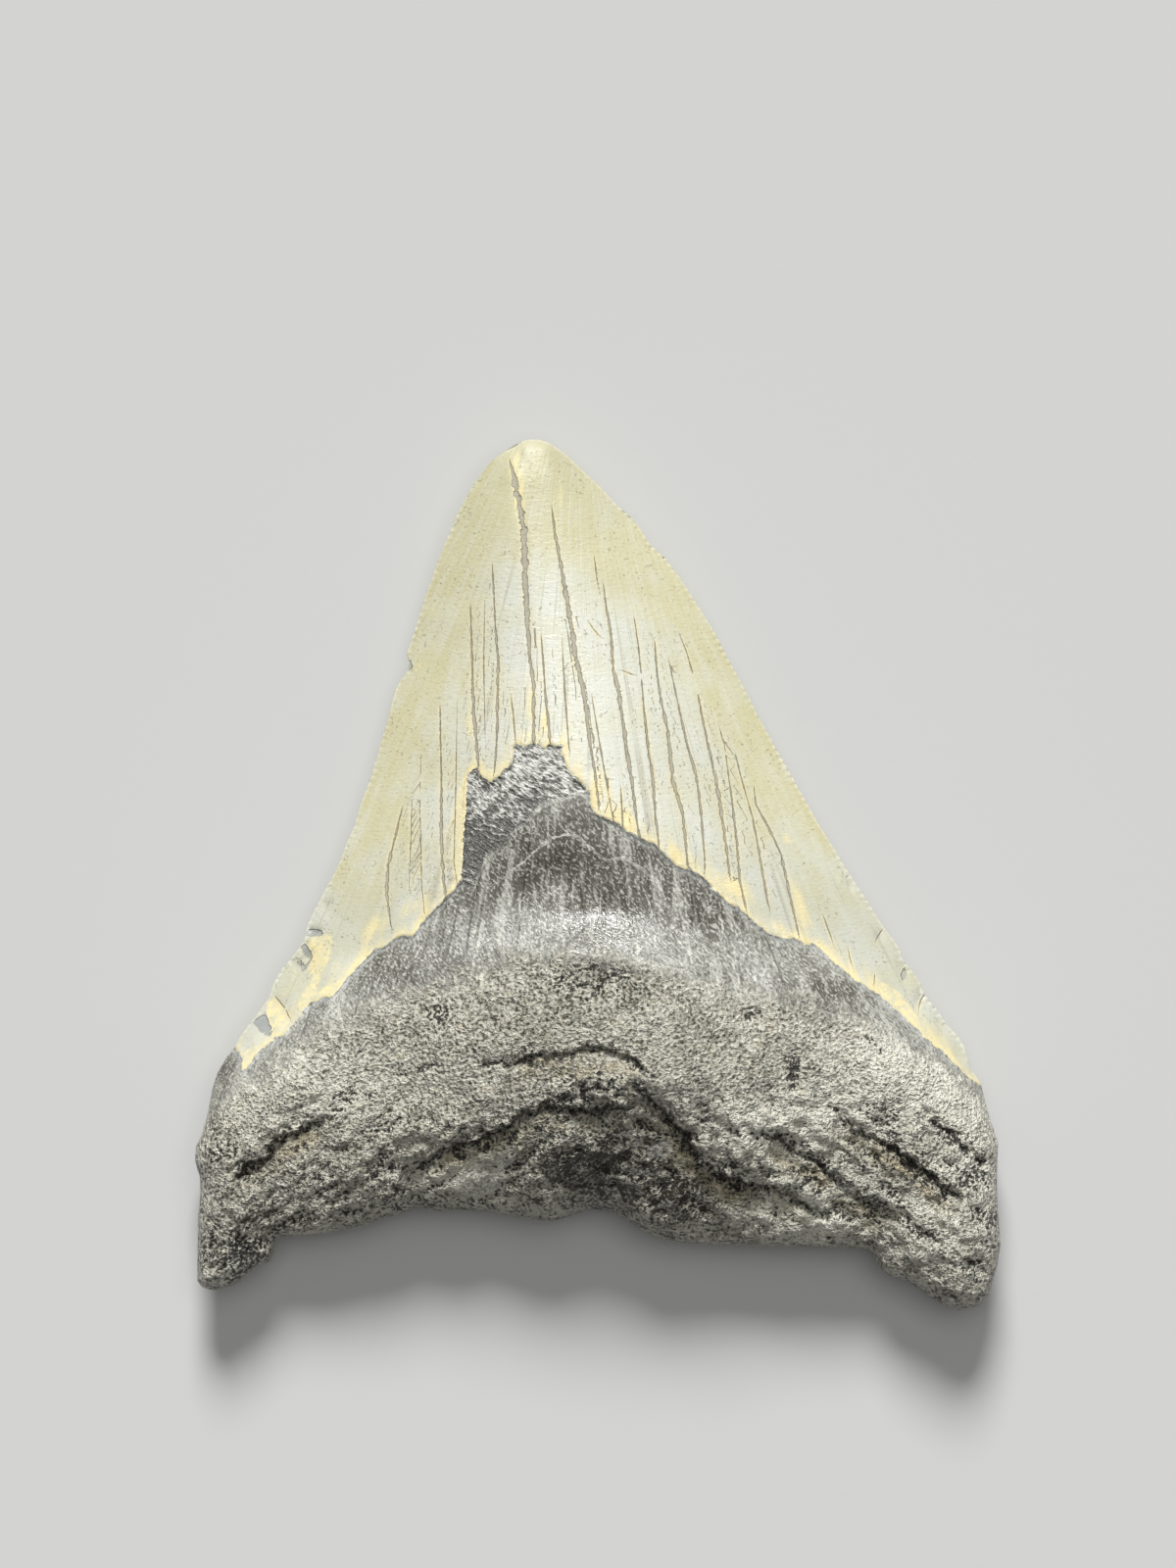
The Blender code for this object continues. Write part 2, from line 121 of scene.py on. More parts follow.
# Where the crown meets the root if no enamel were lost, on the lingual face: the mesh's rows follow it
CROWN_BASE = [
    (-48.5, 30.1), (-43.5, 33.0), (-38.4, 37.0), (-32.0, 42.3), (-25.8, 47.3), (-17.3, 54.5),
    (-12.0, 59.5), (-6.0, 62.5), (0.0, 62.5), (3.8, 61.0), (11.4, 56.3), (18.4, 51.1), (23.3, 47.6),
    (28.1, 45.8), (32.4, 42.4), (37.8, 38.4), (43.1, 33.4), (47.3, 29.8), (48.8, 28.9),
]

# The enamel's real lower edge on the lingual face, with the piece that flaked off over the middle
ENAMEL_EDGE = [
    (-53.0, 37.5), (-47.6, 34.6), (-46.2, 33.4), (-45.2, 32.2), (-45.4, 30.9), (-45.2, 30.4), (-44.5, 30.9),
    (-43.3, 32.4), (-41.5, 34.0), (-38.4, 36.9), (-36.6, 38.9), (-34.1, 40.2),
    (-32.0, 42.2), (-29.6, 45.0), (-27.8, 46.2), (-25.4, 47.4), (-23.6, 48.0), (-22.4, 49.6), (-21.0, 51.3),
    (-19.3, 52.9), (-17.3, 54.6), (-17.1, 58.0), (-17.2, 60.4), (-16.9, 63.2), (-17.0, 66.0), (-16.7, 68.2),
    (-16.2, 68.9), (-15.2, 69.3), (-14.8, 67.9), (-14.1, 67.5), (-13.2, 67.4), (-12.4, 67.9), (-11.8, 68.8),
    (-10.9, 69.4), (-10.5, 70.0), (-10.4, 71.7), (-9.5, 71.9), (-8.1, 72.0), (-7.0, 71.8), (-5.6, 72.0),
    (-4.7, 72.1), (-4.5, 70.6), (-4.0, 69.4), (-3.1, 68.7), (-2.7, 67.5), (-1.6, 66.2), (-1.0, 65.9),
    (-0.8, 64.2), (-0.1, 63.4), (1.3, 62.6), (3.8, 61.3), (7.6, 58.8), (11.4, 56.3), (15.0, 53.3),
    (18.4, 51.1), (21.2, 48.6), (23.3, 47.5), (25.0, 47.2), (28.1, 46.0), (32.4, 42.4), (37.8, 38.4),
    (43.1, 33.4), (47.3, 29.5), (53.0, 26.0),
]

# The lower edge of the bourlette, the dark band between crown and root: its middle stands up as a crest
BAND_EDGE = [
    (-53.0, 24.0), (-43.8, 29.5), (-38.8, 33.9), (-30.0, 38.2), (-22.5, 41.4), (-16.2, 43.2),
    (-10.0, 45.1), (-6.2, 45.5), (1.4, 44.9), (6.4, 44.0), (11.0, 42.5), (14.8, 41.0), (22.0, 40.4),
    (32.0, 37.6), (37.8, 34.5), (43.5, 31.4), (53.0, 24.0),
]

# The enamel's lower edge on the labial face, a shallow arch
LABIAL_EDGE = [
    (-53.0, 28.6), (-46.0, 29.4), (-38.0, 28.2), (-29.0, 29.1), (-19.0, 30.6), (-8.0, 32.4), (2.0, 32.6),
    (12.0, 31.2), (21.0, 29.9), (31.0, 28.1), (40.0, 27.6), (46.0, 28.0), (53.0, 27.0),
]

# Ledges of the root: the line of each, and how far the side below it stands back
LEDGES = [
    ([(-25.0, 16.8), (-20.0, 20.8), (-15.5, 22.2), (-12.0, 24.0), (-7.0, 27.0), (-3.0, 26.7), (1.0, 26.1),
      (6.0, 27.6)], 1.8),
    ([(-12.5, 31.6), (-8.0, 33.1), (-4.5, 33.2), (0.0, 33.8), (3.0, 33.8), (7.5, 30.6)], 1.2),
    ([(3.6, 30.8), (7.2, 27.2), (9.8, 24.5), (12.9, 19.8), (16.0, 17.6), (19.4, 16.3), (23.3, 15.6),
      (30.2, 12.4)], 2.0),
    ([(19.0, 23.2), (22.9, 22.6), (25.0, 20.8), (28.2, 19.5), (31.5, 16.2), (35.0, 13.9),
      (39.5, 11.3)], 1.4),
    ([(29.5, 25.6), (33.2, 23.2), (36.0, 22.0), (38.0, 20.6), (43.5, 16.9), (47.4, 14.0)], 1.5),
    ([(-46.4, 16.8), (-42.9, 19.8), (-40.4, 21.9), (-38.6, 23.3), (-34.0, 25.0)], 1.4),
]

# Finer crevices that only the looks carry: line and depth
CREVICES = [
    ([(41.0, 24.8), (44.6, 22.6), (47.0, 20.4), (49.4, 18.4)], 0.9),
    ([(30.0, 33.9), (32.4, 34.9), (34.2, 34.5), (37.2, 32.2)], 0.25),
    ([(-27.0, 29.6), (-23.5, 30.4), (-20.8, 31.4), (-19.4, 30.2)], 0.35),
    ([(4.0, 24.2), (6.4, 23.9), (8.9, 22.8), (10.6, 21.4), (12.9, 19.8)], 1.0),
    ([(-15.4, 31.2), (-11.0, 32.2), (-9.7, 32.5)], 0.4),
    ([(-12.0, 27.9), (-10.0, 26.4), (-8.3, 26.9)], 0.6),
    ([(-5.6, 27.9), (-2.6, 25.6), (0.8, 26.4), (3.2, 26.4)], 0.8),
    ([(-3.0, 28.9), (0.6, 28.5), (2.9, 27.3)], 0.6),
    ([(-13.6, 19.1), (-11.5, 18.2), (-9.0, 18.6), (-6.2, 18.4)], 0.3),
    ([(8.0, 19.2), (10.6, 16.8), (13.2, 14.6)], 0.5),
    ([(24.2, 19.8), (27.6, 16.6), (31.2, 14.0), (35.6, 12.4)], 0.7),
    ([(34.0, 22.0), (38.2, 19.0), (41.6, 16.2), (45.2, 14.6)], 0.7),
    ([(-30.8, 24.2), (-27.0, 23.4), (-24.4, 24.9)], 0.5),
    ([(-21.8, 21.0), (-18.4, 19.2), (-16.6, 20.2)], 0.5),
    ([(-33.0, 26.8), (-29.4, 27.6), (-26.6, 27.0)], 0.3),
    ([(-41.5, 10.4), (-38.4, 12.0), (-35.4, 12.4)], 0.5),
    ([(17.0, 37.6), (19.2, 38.8), (21.0, 37.9)], 0.4),
]

# Pits: centre, half sizes across and along, and depth
PITS = [
    ((24.6, 30.5), (0.9, 2.2), 0.9),
    ((19.5, 38.0), (1.8, 1.1), 0.5),
    ((-20.0, 38.0), (2.2, 1.5), 0.45),
    ((-0.5, 42.8), (6.2, 2.4), 0.25),
    ((-45.5, 7.4), (3.6, 2.6), 0.75),
]

# Patches where the root's smooth outer skin is left: centre and half sizes
SKIN = [
    ((1.6, 32.7), (1.5, 1.1)),
    ((-3.1, 24.4), (1.8, 1.1)),
    ((7.6, 21.2), (2.4, 1.2)),
    ((-14.0, 25.8), (1.6, 1.0)),
]

# Where lumps of a millimetre or two crowd below the crest and the ledges: centre, half sizes and height
RUBBLE = [
    ((-0.6, 28.1), (5.2, 2.6), 1.0),
    ((-0.5, 42.6), (7.0, 3.0), 0.55),
    ((11.5, 23.5), (4.0, 2.2), 0.5),
    ((-14.0, 22.5), (6.0, 2.2), 0.6),
    ((26.0, 17.0), (6.5, 2.6), 0.5),
    ((36.0, 20.0), (5.5, 2.6), 0.45),
    ((-22.0, 25.5), (3.0, 1.6), 0.3),
    ((-24.0, 18.5), (6.0, 2.0), 0.45),
]

# Places of the root that are worn smooth: centre and half sizes
WORN_SMOOTH = [
    ((13.0, 34.0), (22.0, 7.0)),
    ((-20.0, 31.0), (13.0, 6.5)),
]

# At each distance y from the root's end: the height of the margin, and of the crown over and under it
LEVEL = [0.0, 20.0, 30.0, 40.0, 50.0, 60.0, 70.0, 80.0, 90.0, 100.0, 106.0, 111.0]
MARGIN_HEIGHT = [7.4, 7.4, 6.6, 5.7, 5.0, 4.5, 4.1, 3.9, 4.1, 4.9, 5.6, 6.2]
CROWN_HEIGHT = [13.0, 13.0, 13.0, 12.6, 12.0, 11.2, 10.3, 9.0, 7.3, 5.2, 3.6, 1.4]
LABIAL_DEPTH = [7.4, 7.4, 7.0, 6.4, 5.7, 5.1, 4.6, 4.2, 3.8, 3.0, 2.2, 1.0]

# Markings are noted on a drawing grid with GRID squares to the millimetre, y down, whose zero is this
GRID = 8.0
GRID_ZERO = (610.0, 1336.0)

# Cracks of the lingual enamel: widest half width in millimetres, where along the line that is, and the line
CRACKS = [
    (0.36, 0.27, [(518, 462), (524, 486), (531, 520), (535, 542), (536, 576), (537, 610), (539, 643),
                  (541, 671), (545, 699), (545, 758)]),
    (0.14, 0.8, [(552, 643), (555, 682), (557, 711), (562, 762)]),
    (0.26, 0.45, [(562, 508), (566, 542), (571, 570), (578, 610), (583, 638), (587, 668), (592, 691),
                  (598, 719), (601, 753), (606, 781), (611, 821)]),
    (0.15, 0.6, [(502, 565), (504, 604), (506, 643), (509, 677), (508, 711), (508, 747), (505, 790)]),
    (0.2, 0.7, [(480, 610), (481, 643), (482, 671), (483, 711), (485, 739), (489, 782)]),
    (0.07, 0.5, [(521, 705), (524, 727), (527, 762)]),
    (0.17, 0.8, [(449, 711), (451, 800), (451, 844), (452, 878), (455, 912)]),
    (0.16, 0.6, [(413, 816), (404, 853), (397, 881), (395, 909), (400, 945)]),
    (0.06, 0.5, [(421, 800), (420, 850), (418, 908)]),
    (0.07, 0.6, [(430, 760), (429, 820), (431, 900), (434, 930)]),
    (0.06, 0.6, [(467, 700), (466, 790), (464, 880), (468, 905)]),
    (0.06, 0.5, [(495, 600), (494, 680), (496, 770)]),
    (0.21, 0.55, [(614, 585), (618, 617), (623, 644), (626, 684), (631, 706), (635, 733), (639, 765),
                  (645, 800), (649, 836), (653, 858)]),
    (0.07, 0.5, [(606, 564), (609, 590), (614, 615)]),
    (0.14, 0.7, [(645, 617), (651, 658), (654, 687), (657, 725), (661, 765), (666, 794), (668, 830),
                 (672, 864)]),
    (0.2, 0.6, [(667, 644), (670, 684), (674, 714), (681, 746), (686, 797), (696, 830), (701, 882)]),
    (0.13, 0.6, [(680, 660), (686, 692), (694, 730), (702, 765), (710, 791), (715, 830), (719, 886)]),
    (0.18, 0.65, [(700, 687), (710, 698), (716, 730), (722, 760), (731, 800), (737, 840), (744, 893)]),
    (0.13, 0.7, [(730, 730), (739, 760), (745, 806), (751, 858), (754, 898), (760, 926)]),
    (0.12, 0.7, [(748, 760), (756, 794), (768, 836), (776, 882), (783, 923)]),
    (0.14, 0.6, [(768, 794), (771, 821), (786, 849), (796, 870), (802, 898), (814, 953)]),
    (0.08, 0.5, [(633, 800), (636, 855)]),
    (0.07, 0.6, [(690, 640), (700, 664), (712, 706)]),
    (0.08, 0.6, [(602, 700), (612, 760), (621, 812), (626, 838)]),
    (0.07, 0.6, [(573, 640), (576, 700), (581, 766)]),
    (0.05, 0.5, [(600, 634), (606, 644), (614, 652)]),
    (0.05, 0.5, [(630, 683), (645, 689), (657, 692)]),
    (0.05, 0.5, [(864, 964), (866, 976), (870, 989)]),
    (0.05, 0.5, [(892, 990), (891, 1006)]),
    (0.07, 0.5, [(901, 948), (894, 958)]),
    (0.09, 0.4, [(944, 1014), (939, 1021), (937, 1028)]),
    (0.08, 0.5, [(280, 1015), (285, 1021), (292, 1029), (296, 1037)]),
    (0.06, 0.5, [(838, 930), (846, 952), (850, 965)]),
]

# Pale veins of the band: half width in millimetres, where along it is widest, and the line
VEINS = [
    (0.14, 0.7, [(480, 915), (498, 874), (512, 865), (525, 849), (538, 837), (551, 824), (566, 817),
                 (585, 813), (600, 808)]),
    (0.12, 0.6, [(494, 910), (511, 897), (525, 887), (544, 871), (559, 858), (574, 850), (590, 854),
                 (603, 867), (618, 876), (636, 876), (651, 884), (670, 898), (677, 915), (684, 932),
                 (688, 950)]),
    (0.07, 0.5, [(559, 832), (559, 858), (560, 904)]),
    (0.08, 0.5, [(570, 969), (588, 968), (599, 973), (627, 976), (655, 981), (683, 985), (712, 996)]),
    (0.08, 0.6, [(509, 905), (512, 940), (517, 978)]),
    (0.07, 0.5, [(530, 905), (532, 940), (533, 965)]),
    (0.08, 0.4, [(533, 903), (545, 916), (548, 940), (556, 970)]),
    (0.07, 0.5, [(560, 898), (568, 925), (572, 960)]),
    (0.06, 0.5, [(584, 895), (585, 930)]),
    (0.06, 0.5, [(612, 908), (614, 940)]),
    (0.08, 0.4, [(632, 905), (648, 922)]),
    (0.07, 0.5, [(655, 905), (663, 922), (667, 940)]),
    (0.1, 0.5, [(697, 919), (711, 907), (698, 921), (703, 939), (712, 952), (725, 963), (736, 958),
                (737, 944), (732, 932)]),
    (0.08, 0.5, [(673, 925), (697, 924), (703, 939)]),
    (0.08, 0.4, [(736, 960), (748, 985), (752, 1000)]),
    (0.06, 0.5, [(686, 950), (700, 966), (716, 980)]),
    (0.08, 0.5, [(480, 968), (495, 962), (510, 952)]),
    (0.07, 0.5, [(372, 1012), (368, 1030), (360, 1045)]),
    (0.07, 0.5, [(345, 1022), (352, 1046), (360, 1045)]),
    (0.06, 0.5, [(398, 1001), (392, 1016), (384, 1024)]),
    (0.06, 0.5, [(432, 962), (424, 976)]),
    (0.06, 0.5, [(846, 972), (851, 1006)]),
    (0.06, 0.5, [(880, 1030), (892, 1050)]),
    (0.06, 0.5, [(904, 1050), (930, 1074), (956, 1088)]),
]

# The lower edge of the rough dentine that the lost flake left bare
BARE_EDGE = [
    (300, 880), (470, 900), (480, 915), (498, 874), (512, 865), (525, 849), (538, 837), (551, 824),
    (566, 817), (585, 813), (600, 808), (640, 790),
]

# Flake scars by the cutting edges: centre of the straight side on the grid, half sizes away from it and
# along it in millimetres, the way it faces in degrees, and depth in millimetres
CHIPS = [
    ((322, 949), (1.0, 1.3), 250.0, 0.45),
    ((321, 982), (1.5, 2.6), 200.0, 0.5),
    ((309, 990), (1.0, 2.0), 215.0, 0.4),
    ((291, 1030), (2.2, 2.6), 222.0, 0.35),
    ((277, 1048), (2.0, 1.3), 215.0, 0.3),
    ((256, 1070), (1.6, 1.6), 200.0, 0.25),
    ((417, 680), (0.8, 0.7), 190.0, 0.3),
    ((335, 925), (0.8, 0.9), 205.0, 0.3),
    ((918, 992), (1.0, 1.5), 20.0, 0.45),
    ((936, 1018), (1.3, 1.6), 340.0, 0.4),
    ((896, 953), (0.9, 0.9), 330.0, 0.25),
    ((958, 1048), (1.3, 1.5), 20.0, 0.3),
    ((975, 1078), (1.0, 1.3), 35.0, 0.3),
    ((866, 905), (0.7, 0.8), 25.0, 0.25),
    ((665, 562), (0.7, 1.0), 40.0, 0.12),
    ((640, 530), (0.6, 0.8), 45.0, 0.1),
]

# Grey floors of flake scars, as closed shapes on the grid
FLAKED = [
    [(313, 955), (314, 948), (320, 947), (329, 950), (334, 952), (329, 955), (321, 955)],
    [(311, 962), (317, 970), (320, 978), (322, 987), (320, 992), (318, 984), (313, 976), (310, 972),
     (307, 967)],
    [(301, 976), (307, 979), (313, 989), (317, 1000), (315, 1001), (310, 993), (305, 985)],
    [(258, 1043), (265, 1037), (271, 1034), (274, 1040), (278, 1048), (279, 1054), (275, 1057),
     (267, 1053)],
    [(919, 993), (923, 986), (924, 989), (925, 995), (921, 1001), (919, 1000)],
    [(412, 676), (419, 674), (421, 681), (416, 686)],
]

# Bright yellow patches of the enamel, as closed shapes on the grid
YELLOWED = [
    [(313, 962), (319, 957), (336, 953), (340, 958), (339, 968), (337, 977), (334, 983), (332, 989),
     (327, 998), (323, 1012), (318, 1024), (308, 1031), (305, 1025), (307, 1018), (316, 1006),
     (319, 1000), (322, 990), (320, 979), (316, 970)],
    [(312, 978), (316, 983), (320, 992), (318, 999), (314, 990)],
    [(273, 1025), (279, 1018), (284, 1021), (290, 1029), (296, 1039), (298, 1043), (293, 1048),
     (288, 1057), (279, 1064), (271, 1070), (265, 1075), (257, 1085), (253, 1090), (248, 1092),
     (247, 1088), (250, 1078), (251, 1071), (267, 1065), (279, 1057), (279, 1050), (275, 1042),
     (273, 1032)],
    [(896, 1000), (903, 1004), (917, 1012), (926, 1025), (932, 1031), (942, 1054), (938, 1057),
     (929, 1048), (921, 1037), (912, 1026), (903, 1017), (893, 1009)],
    [(977, 1084), (987, 1093), (993, 1102), (987, 1099), (977, 1088)],
    [(324, 1012), (352, 996), (380, 982), (404, 968), (404, 974), (370, 996), (345, 1012), (322, 1026)],
]

# Yellow stains of the enamel: centre on the grid, half sizes in millimetres, turn in degrees, strength
STAINS = [
    ((352, 988), (3.4, 2.2), 40.0, 0.6),
    ((385, 945), (4.0, 1.6), 35.0, 0.8),
    ((425, 925), (4.0, 1.4), 35.0, 0.7),
    ((466, 880), (0.9, 3.4), 0.0, 0.9),
    ((500, 790), (1.8, 0.9), 0.0, 1.0),
    ((545, 750), (2.4, 1.0), 0.0, 0.9),
    ((607, 812), (1.2, 4.0), -8.0, 1.2),
    ((640, 838), (3.5, 1.3), -35.0, 1.1),
    ((692, 874), (3.0, 1.3), -30.0, 1.0),
    ((748, 905), (3.4, 1.7), -35.0, 1.1),
    ((792, 946), (2.8, 1.0), -30.0, 0.9),
    ((817, 925), (0.9, 4.6), 18.0, 1.2),
    ((958, 1075), (5.0, 1.3), -42.0, 0.7),
    ((530, 500), (0.9, 5.5), 6.0, 0.95),
    ((541, 715), (0.7, 4.0), 0.0, 0.8),
    ((556, 737), (0.7, 2.0), 0.0, 1.1),
    ((480, 745), (0.5, 2.4), 0.0, 1.0),
    ((573, 508), (0.4, 2.0), 0.0, 0.6),
    ((802, 856), (0.7, 0.6), 0.0, 0.7),
    ((855, 895), (0.5, 0.9), 10.0, 0.6),
    ((430, 680), (1.2, 0.7), 30.0, 0.6),
]

# Painted shade of the root, and painted light where the strength is below 0: centre, half sizes across and
# along, and strength
SHADE_AND_LIGHT = [
    ((0.0, 18.5), (11.5, 5.0), 1.1),
    ((-20.0, 14.2), (9.0, 1.5), 0.5),
    ((13.5, 13.3), (7.5, 3.4), 1.15),
    ((-32.5, 14.3), (6.0, 2.2), 0.1),
    ((-20.0, 32.0), (6.0, 4.0), 0.3),
    ((-45.0, 8.6), (4.6, 3.4), 0.4),
    ((-41.8, 10.9), (3.4, 1.4), 0.5),
    ((-0.5, 42.3), (7.2, 3.0), 0.5),
    ((-19.5, 38.4), (2.6, 1.4), 0.5),
    ((40.0, 4.0), (5.0, 1.6), 0.4),
    ((36.5, 28.5), (9.5, 7.0), -1.7),
    ((47.0, 19.5), (4.0, 7.0), -1.5),
    ((28.0, 13.2), (11.0, 2.8), -3.2),
    ((21.5, 23.0), (8.0, 3.4), -2.8),
    ((-35.0, 27.0), (10.0, 6.0), -1.1),
    ((-47.5, 22.0), (3.0, 4.0), 0.3),
    ((44.0, 10.0), (5.0, 5.0), -0.9),
    ((1.0, 24.4), (4.6, 1.3), -0.6),
    ((-16.5, 17.6), (6.0, 2.4), -2.6),
    ((4.0, 32.5), (6.0, 2.0), -0.3),
]

# Dark places of the band: centre, half sizes across and along, and strength
BAND_SHADES = [
    ((-5.0, 56.5), (13.5, 6.5), 1.45),
    ((14.0, 51.0), (10.0, 4.0), 0.75),
    ((-47.5, 30.5), (2.0, 2.5), 0.6),
    ((-25.0, 43.5), (11.0, 3.2), 0.5),
    ((31.0, 41.0), (10.0, 2.5), 0.6),
]


class ToothSettings(bpy.types.PropertyGroup):
    """Sizes and colours of the tooth that a user may change."""

    enamel_step: FloatProperty(
        name="Enamel thickness", description="How far the enamel stands over the band below it",
        default=0.00045, min=0.0, unit="LENGTH",
    )
    serration_pitch: FloatProperty(
        name="Serration pitch", description="Distance between the teeth of the cutting edges",
        default=0.00096, min=0.0005, unit="LENGTH",
    )
    serration_depth: FloatProperty(
        name="Serration depth", description="How deep the notches of the cutting edges are",
        default=0.00026, min=0.0, unit="LENGTH",
    )
    crack_depth: FloatProperty(
        name="Crack depth", description="Depth of the widest crack of the enamel",
        default=0.00014, min=0.0, unit="LENGTH",
    )
    root_grain: FloatProperty(
        name="Root grain", description="Height of the root's lumps of a few millimetres",
        default=0.0008, min=0.0, unit="LENGTH",
    )
    cream: FloatVectorProperty(
        name="Cream enamel", description="Enamel by the cutting edges and the tip",
        default=(0.605, 0.57, 0.345), min=0.0, max=1.0, subtype="COLOR",
    )
    grey: FloatVectorProperty(
        name="Grey enamel", description="Enamel over the middle of the crown",
        default=(0.655, 0.66, 0.56), min=0.0, max=1.0, subtype="COLOR",
    )
    stain: FloatVectorProperty(
        name="Stain", description="Yellow stains along the cracks and the lower edge",
        default=(0.80, 0.69, 0.36), min=0.0, max=1.0, subtype="COLOR",
    )
    crack: FloatVectorProperty(
        name="Crack filling", description="Sediment in the cracks",
        default=(0.4, 0.375, 0.285), min=0.0, max=1.0, subtype="COLOR",
    )
    band: FloatVectorProperty(
        name="Band", description="The dark band below the enamel",
        default=(0.062, 0.055, 0.038), min=0.0, max=1.0, subtype="COLOR",
    )
    vein: FloatVectorProperty(
        name="Veins", description="Pale veins of the band",
        default=(0.6, 0.6, 0.53), min=0.0, max=1.0, subtype="COLOR",
    )
    band_grey: FloatVectorProperty(
        name="Band, pale ends",
        description="The band towards the cutting edges, and its rim under the enamel",
        default=(0.285, 0.285, 0.25), min=0.0, max=1.0, subtype="COLOR",
    )
    root_light: FloatVectorProperty(
        name="Root, pale grains", description="The raised grains of the root",
        default=(0.77, 0.75, 0.635), min=0.0, max=1.0, subtype="COLOR",
    )
    root_dark: FloatVectorProperty(
        name="Root, dark grains", description="The hollows between the grains of the root",
        default=(0.06, 0.051, 0.031), min=0.0, max=1.0, subtype="COLOR",
    )
    ochre: FloatVectorProperty(
        name="Ochre", description="Sediment under the ledges of the root",
        default=(0.5, 0.4, 0.2), min=0.0, max=1.0, subtype="COLOR",
    )


class StageSettings(bpy.types.PropertyGroup):
    """The floor, lights and camera round the tooth."""

    floor_colour: FloatVectorProperty(
        name="Floor", description="Colour of the floor", default=(0.56, 0.56, 0.55), min=0.0, max=1.0,
        subtype="COLOR",
    )
    floor_reach: FloatProperty(
        name="Floor reach", description="Distance from the tooth to the floor's edge",
        default=6.0, unit="LENGTH",
    )
    key_strength: FloatProperty(
        name="Key light", description="Strength of the light from beyond the tip", default=4.0, min=0.0,
    )
    key_angle: FloatProperty(
        name="Key angle", description="How wide the key light looks from the tooth, for soft shadows",
        default=math.radians(20.0), subtype="ANGLE",
    )
    fill_power: FloatProperty(
        name="Fill light", description="Power of the soft light overhead", default=19.0, unit="POWER",
    )
    lens: FloatProperty(
        name="Lens", description="Focal length in millimetres", default=200.0, min=20.0,
    )
    frame_height: FloatProperty(
        name="Frame height", description="Height of the picture at the level of the cutting edges",
        default=0.2, unit="LENGTH",
    )


def smoothstep(low, high, value):
    """0 below low, 1 above high, and a smooth rise between them."""
    share = np.clip((value - low) / (high - low), 0.0, 1.0)
    return share * share * (3.0 - 2.0 * share)


def from_grid(points):
    """Points of the drawing grid in plan millimetres."""
    points = np.array(points, float)
    return (points - GRID_ZERO) * (1.0, -1.0) / GRID


def in_plan(lines):
    """Cracks or veins with their lines in plan millimetres."""
    return [(widest, at, from_grid(line)) for widest, at, line in lines]


def step_lengths(line):
    """The lengths of a polyline's straight parts."""
    return np.hypot(*np.diff(np.array(line), axis=0).T)


def travelled(line):
    """How far along a polyline each of its points lies."""
    return np.concatenate([[0.0], np.cumsum(step_lengths(line))])


def along(line, share):
    """The points of a polyline at these shares of its length."""
    line = np.array(line)
    reach = travelled(line)
    want = np.asarray(share) * reach[-1]
    return np.stack([np.interp(want, reach, line[:, 0]), np.interp(want, reach, line[:, 1])], axis=-1)


def nearest(points, line):
    """For each point: its distance to a polyline, whether it lies left of it, and how far along."""
    line = np.array(line)
    reach = travelled(line)
    best = np.full(len(points), np.inf)
    best_aside = np.zeros(len(points))
    travel = np.zeros(len(points))
    for start, end, gone in zip(line[:-1], line[1:], reach):
        run = end - start
        length = np.hypot(*run)
        offset = points - start
        share = np.clip(offset @ run / length**2, 0.0, 1.0)
        distance = np.hypot(*(offset - share[:, None] * run).T)
        aside = (run[0] * offset[:, 1] - run[1] * offset[:, 0]) / length
        same = np.abs(distance - best) < TINY
        closer = (distance < best - TINY) | (same & (np.abs(aside) > np.abs(best_aside)))
        best_aside[closer] = aside[closer]
        travel[closer] = gone + share[closer] * length
        best = np.minimum(best, distance)
    return best, best_aside > -TINY, travel / reach[-1]


def signed(points, line):
    """Distance to a polyline, positive on its left."""
    distance, left, _ = nearest(points, line)
    return np.where(left, distance, -distance)


CALM_POINTS = 61
CALM_NEIGHBOURS = 9
CALM_REACH = 0.06


def calm(line):
    """A polyline without its small bends: each point of it averaged with its neighbours."""
    shares = np.linspace(0.0, 1.0, CALM_POINTS)
    reach = np.minimum(np.minimum(shares, 1.0 - shares), CALM_REACH)
    around = [along(line, shares + side * reach) for side in np.linspace(-1.0, 1.0, CALM_NEIGHBOURS)]
    return np.mean(around, axis=0).tolist()


def bell(spot, centre, reach):
    """1 at a centre, falling smoothly to 0 round it."""
    return np.exp(-(((spot - centre) / reach) ** 2).sum(axis=1))


def turned(offset, degrees):
    """Offsets as seen along axes that are turned counter-clockwise."""
    angle = math.radians(degrees)
    turn = np.array([(math.cos(angle), -math.sin(angle)), (math.sin(angle), math.cos(angle))])
    return offset @ turn


def turned_bell(spot, centre, reach, degrees):
    """A bell whose axes are turned counter-clockwise."""
    return np.exp(-((turned(spot - centre, degrees) / reach) ** 2).sum(axis=1))


def scar(spot, centre, reach, degrees):
    """A half moon: 1 along its straight side, falling off sharply behind it and smoothly before it."""
    before, beside = (turned(spot - centre, degrees) / reach).T
    return np.exp(-before**2 - beside**2) * smoothstep(-0.3, 0.0, before)


def close_to(spot, line, reach):
    """Which points lie in a line's box, widened by this reach: only they need its distance."""
    low, high = np.min(line, axis=0) - reach, np.max(line, axis=0) + reach
    return np.flatnonzero(((spot > low) & (spot < high)).all(axis=1))


# How far round a line or a closed shape its distance is worked out, and the value where it isn't
LINE_REACH = 2.0
NO_LINE = 9.0


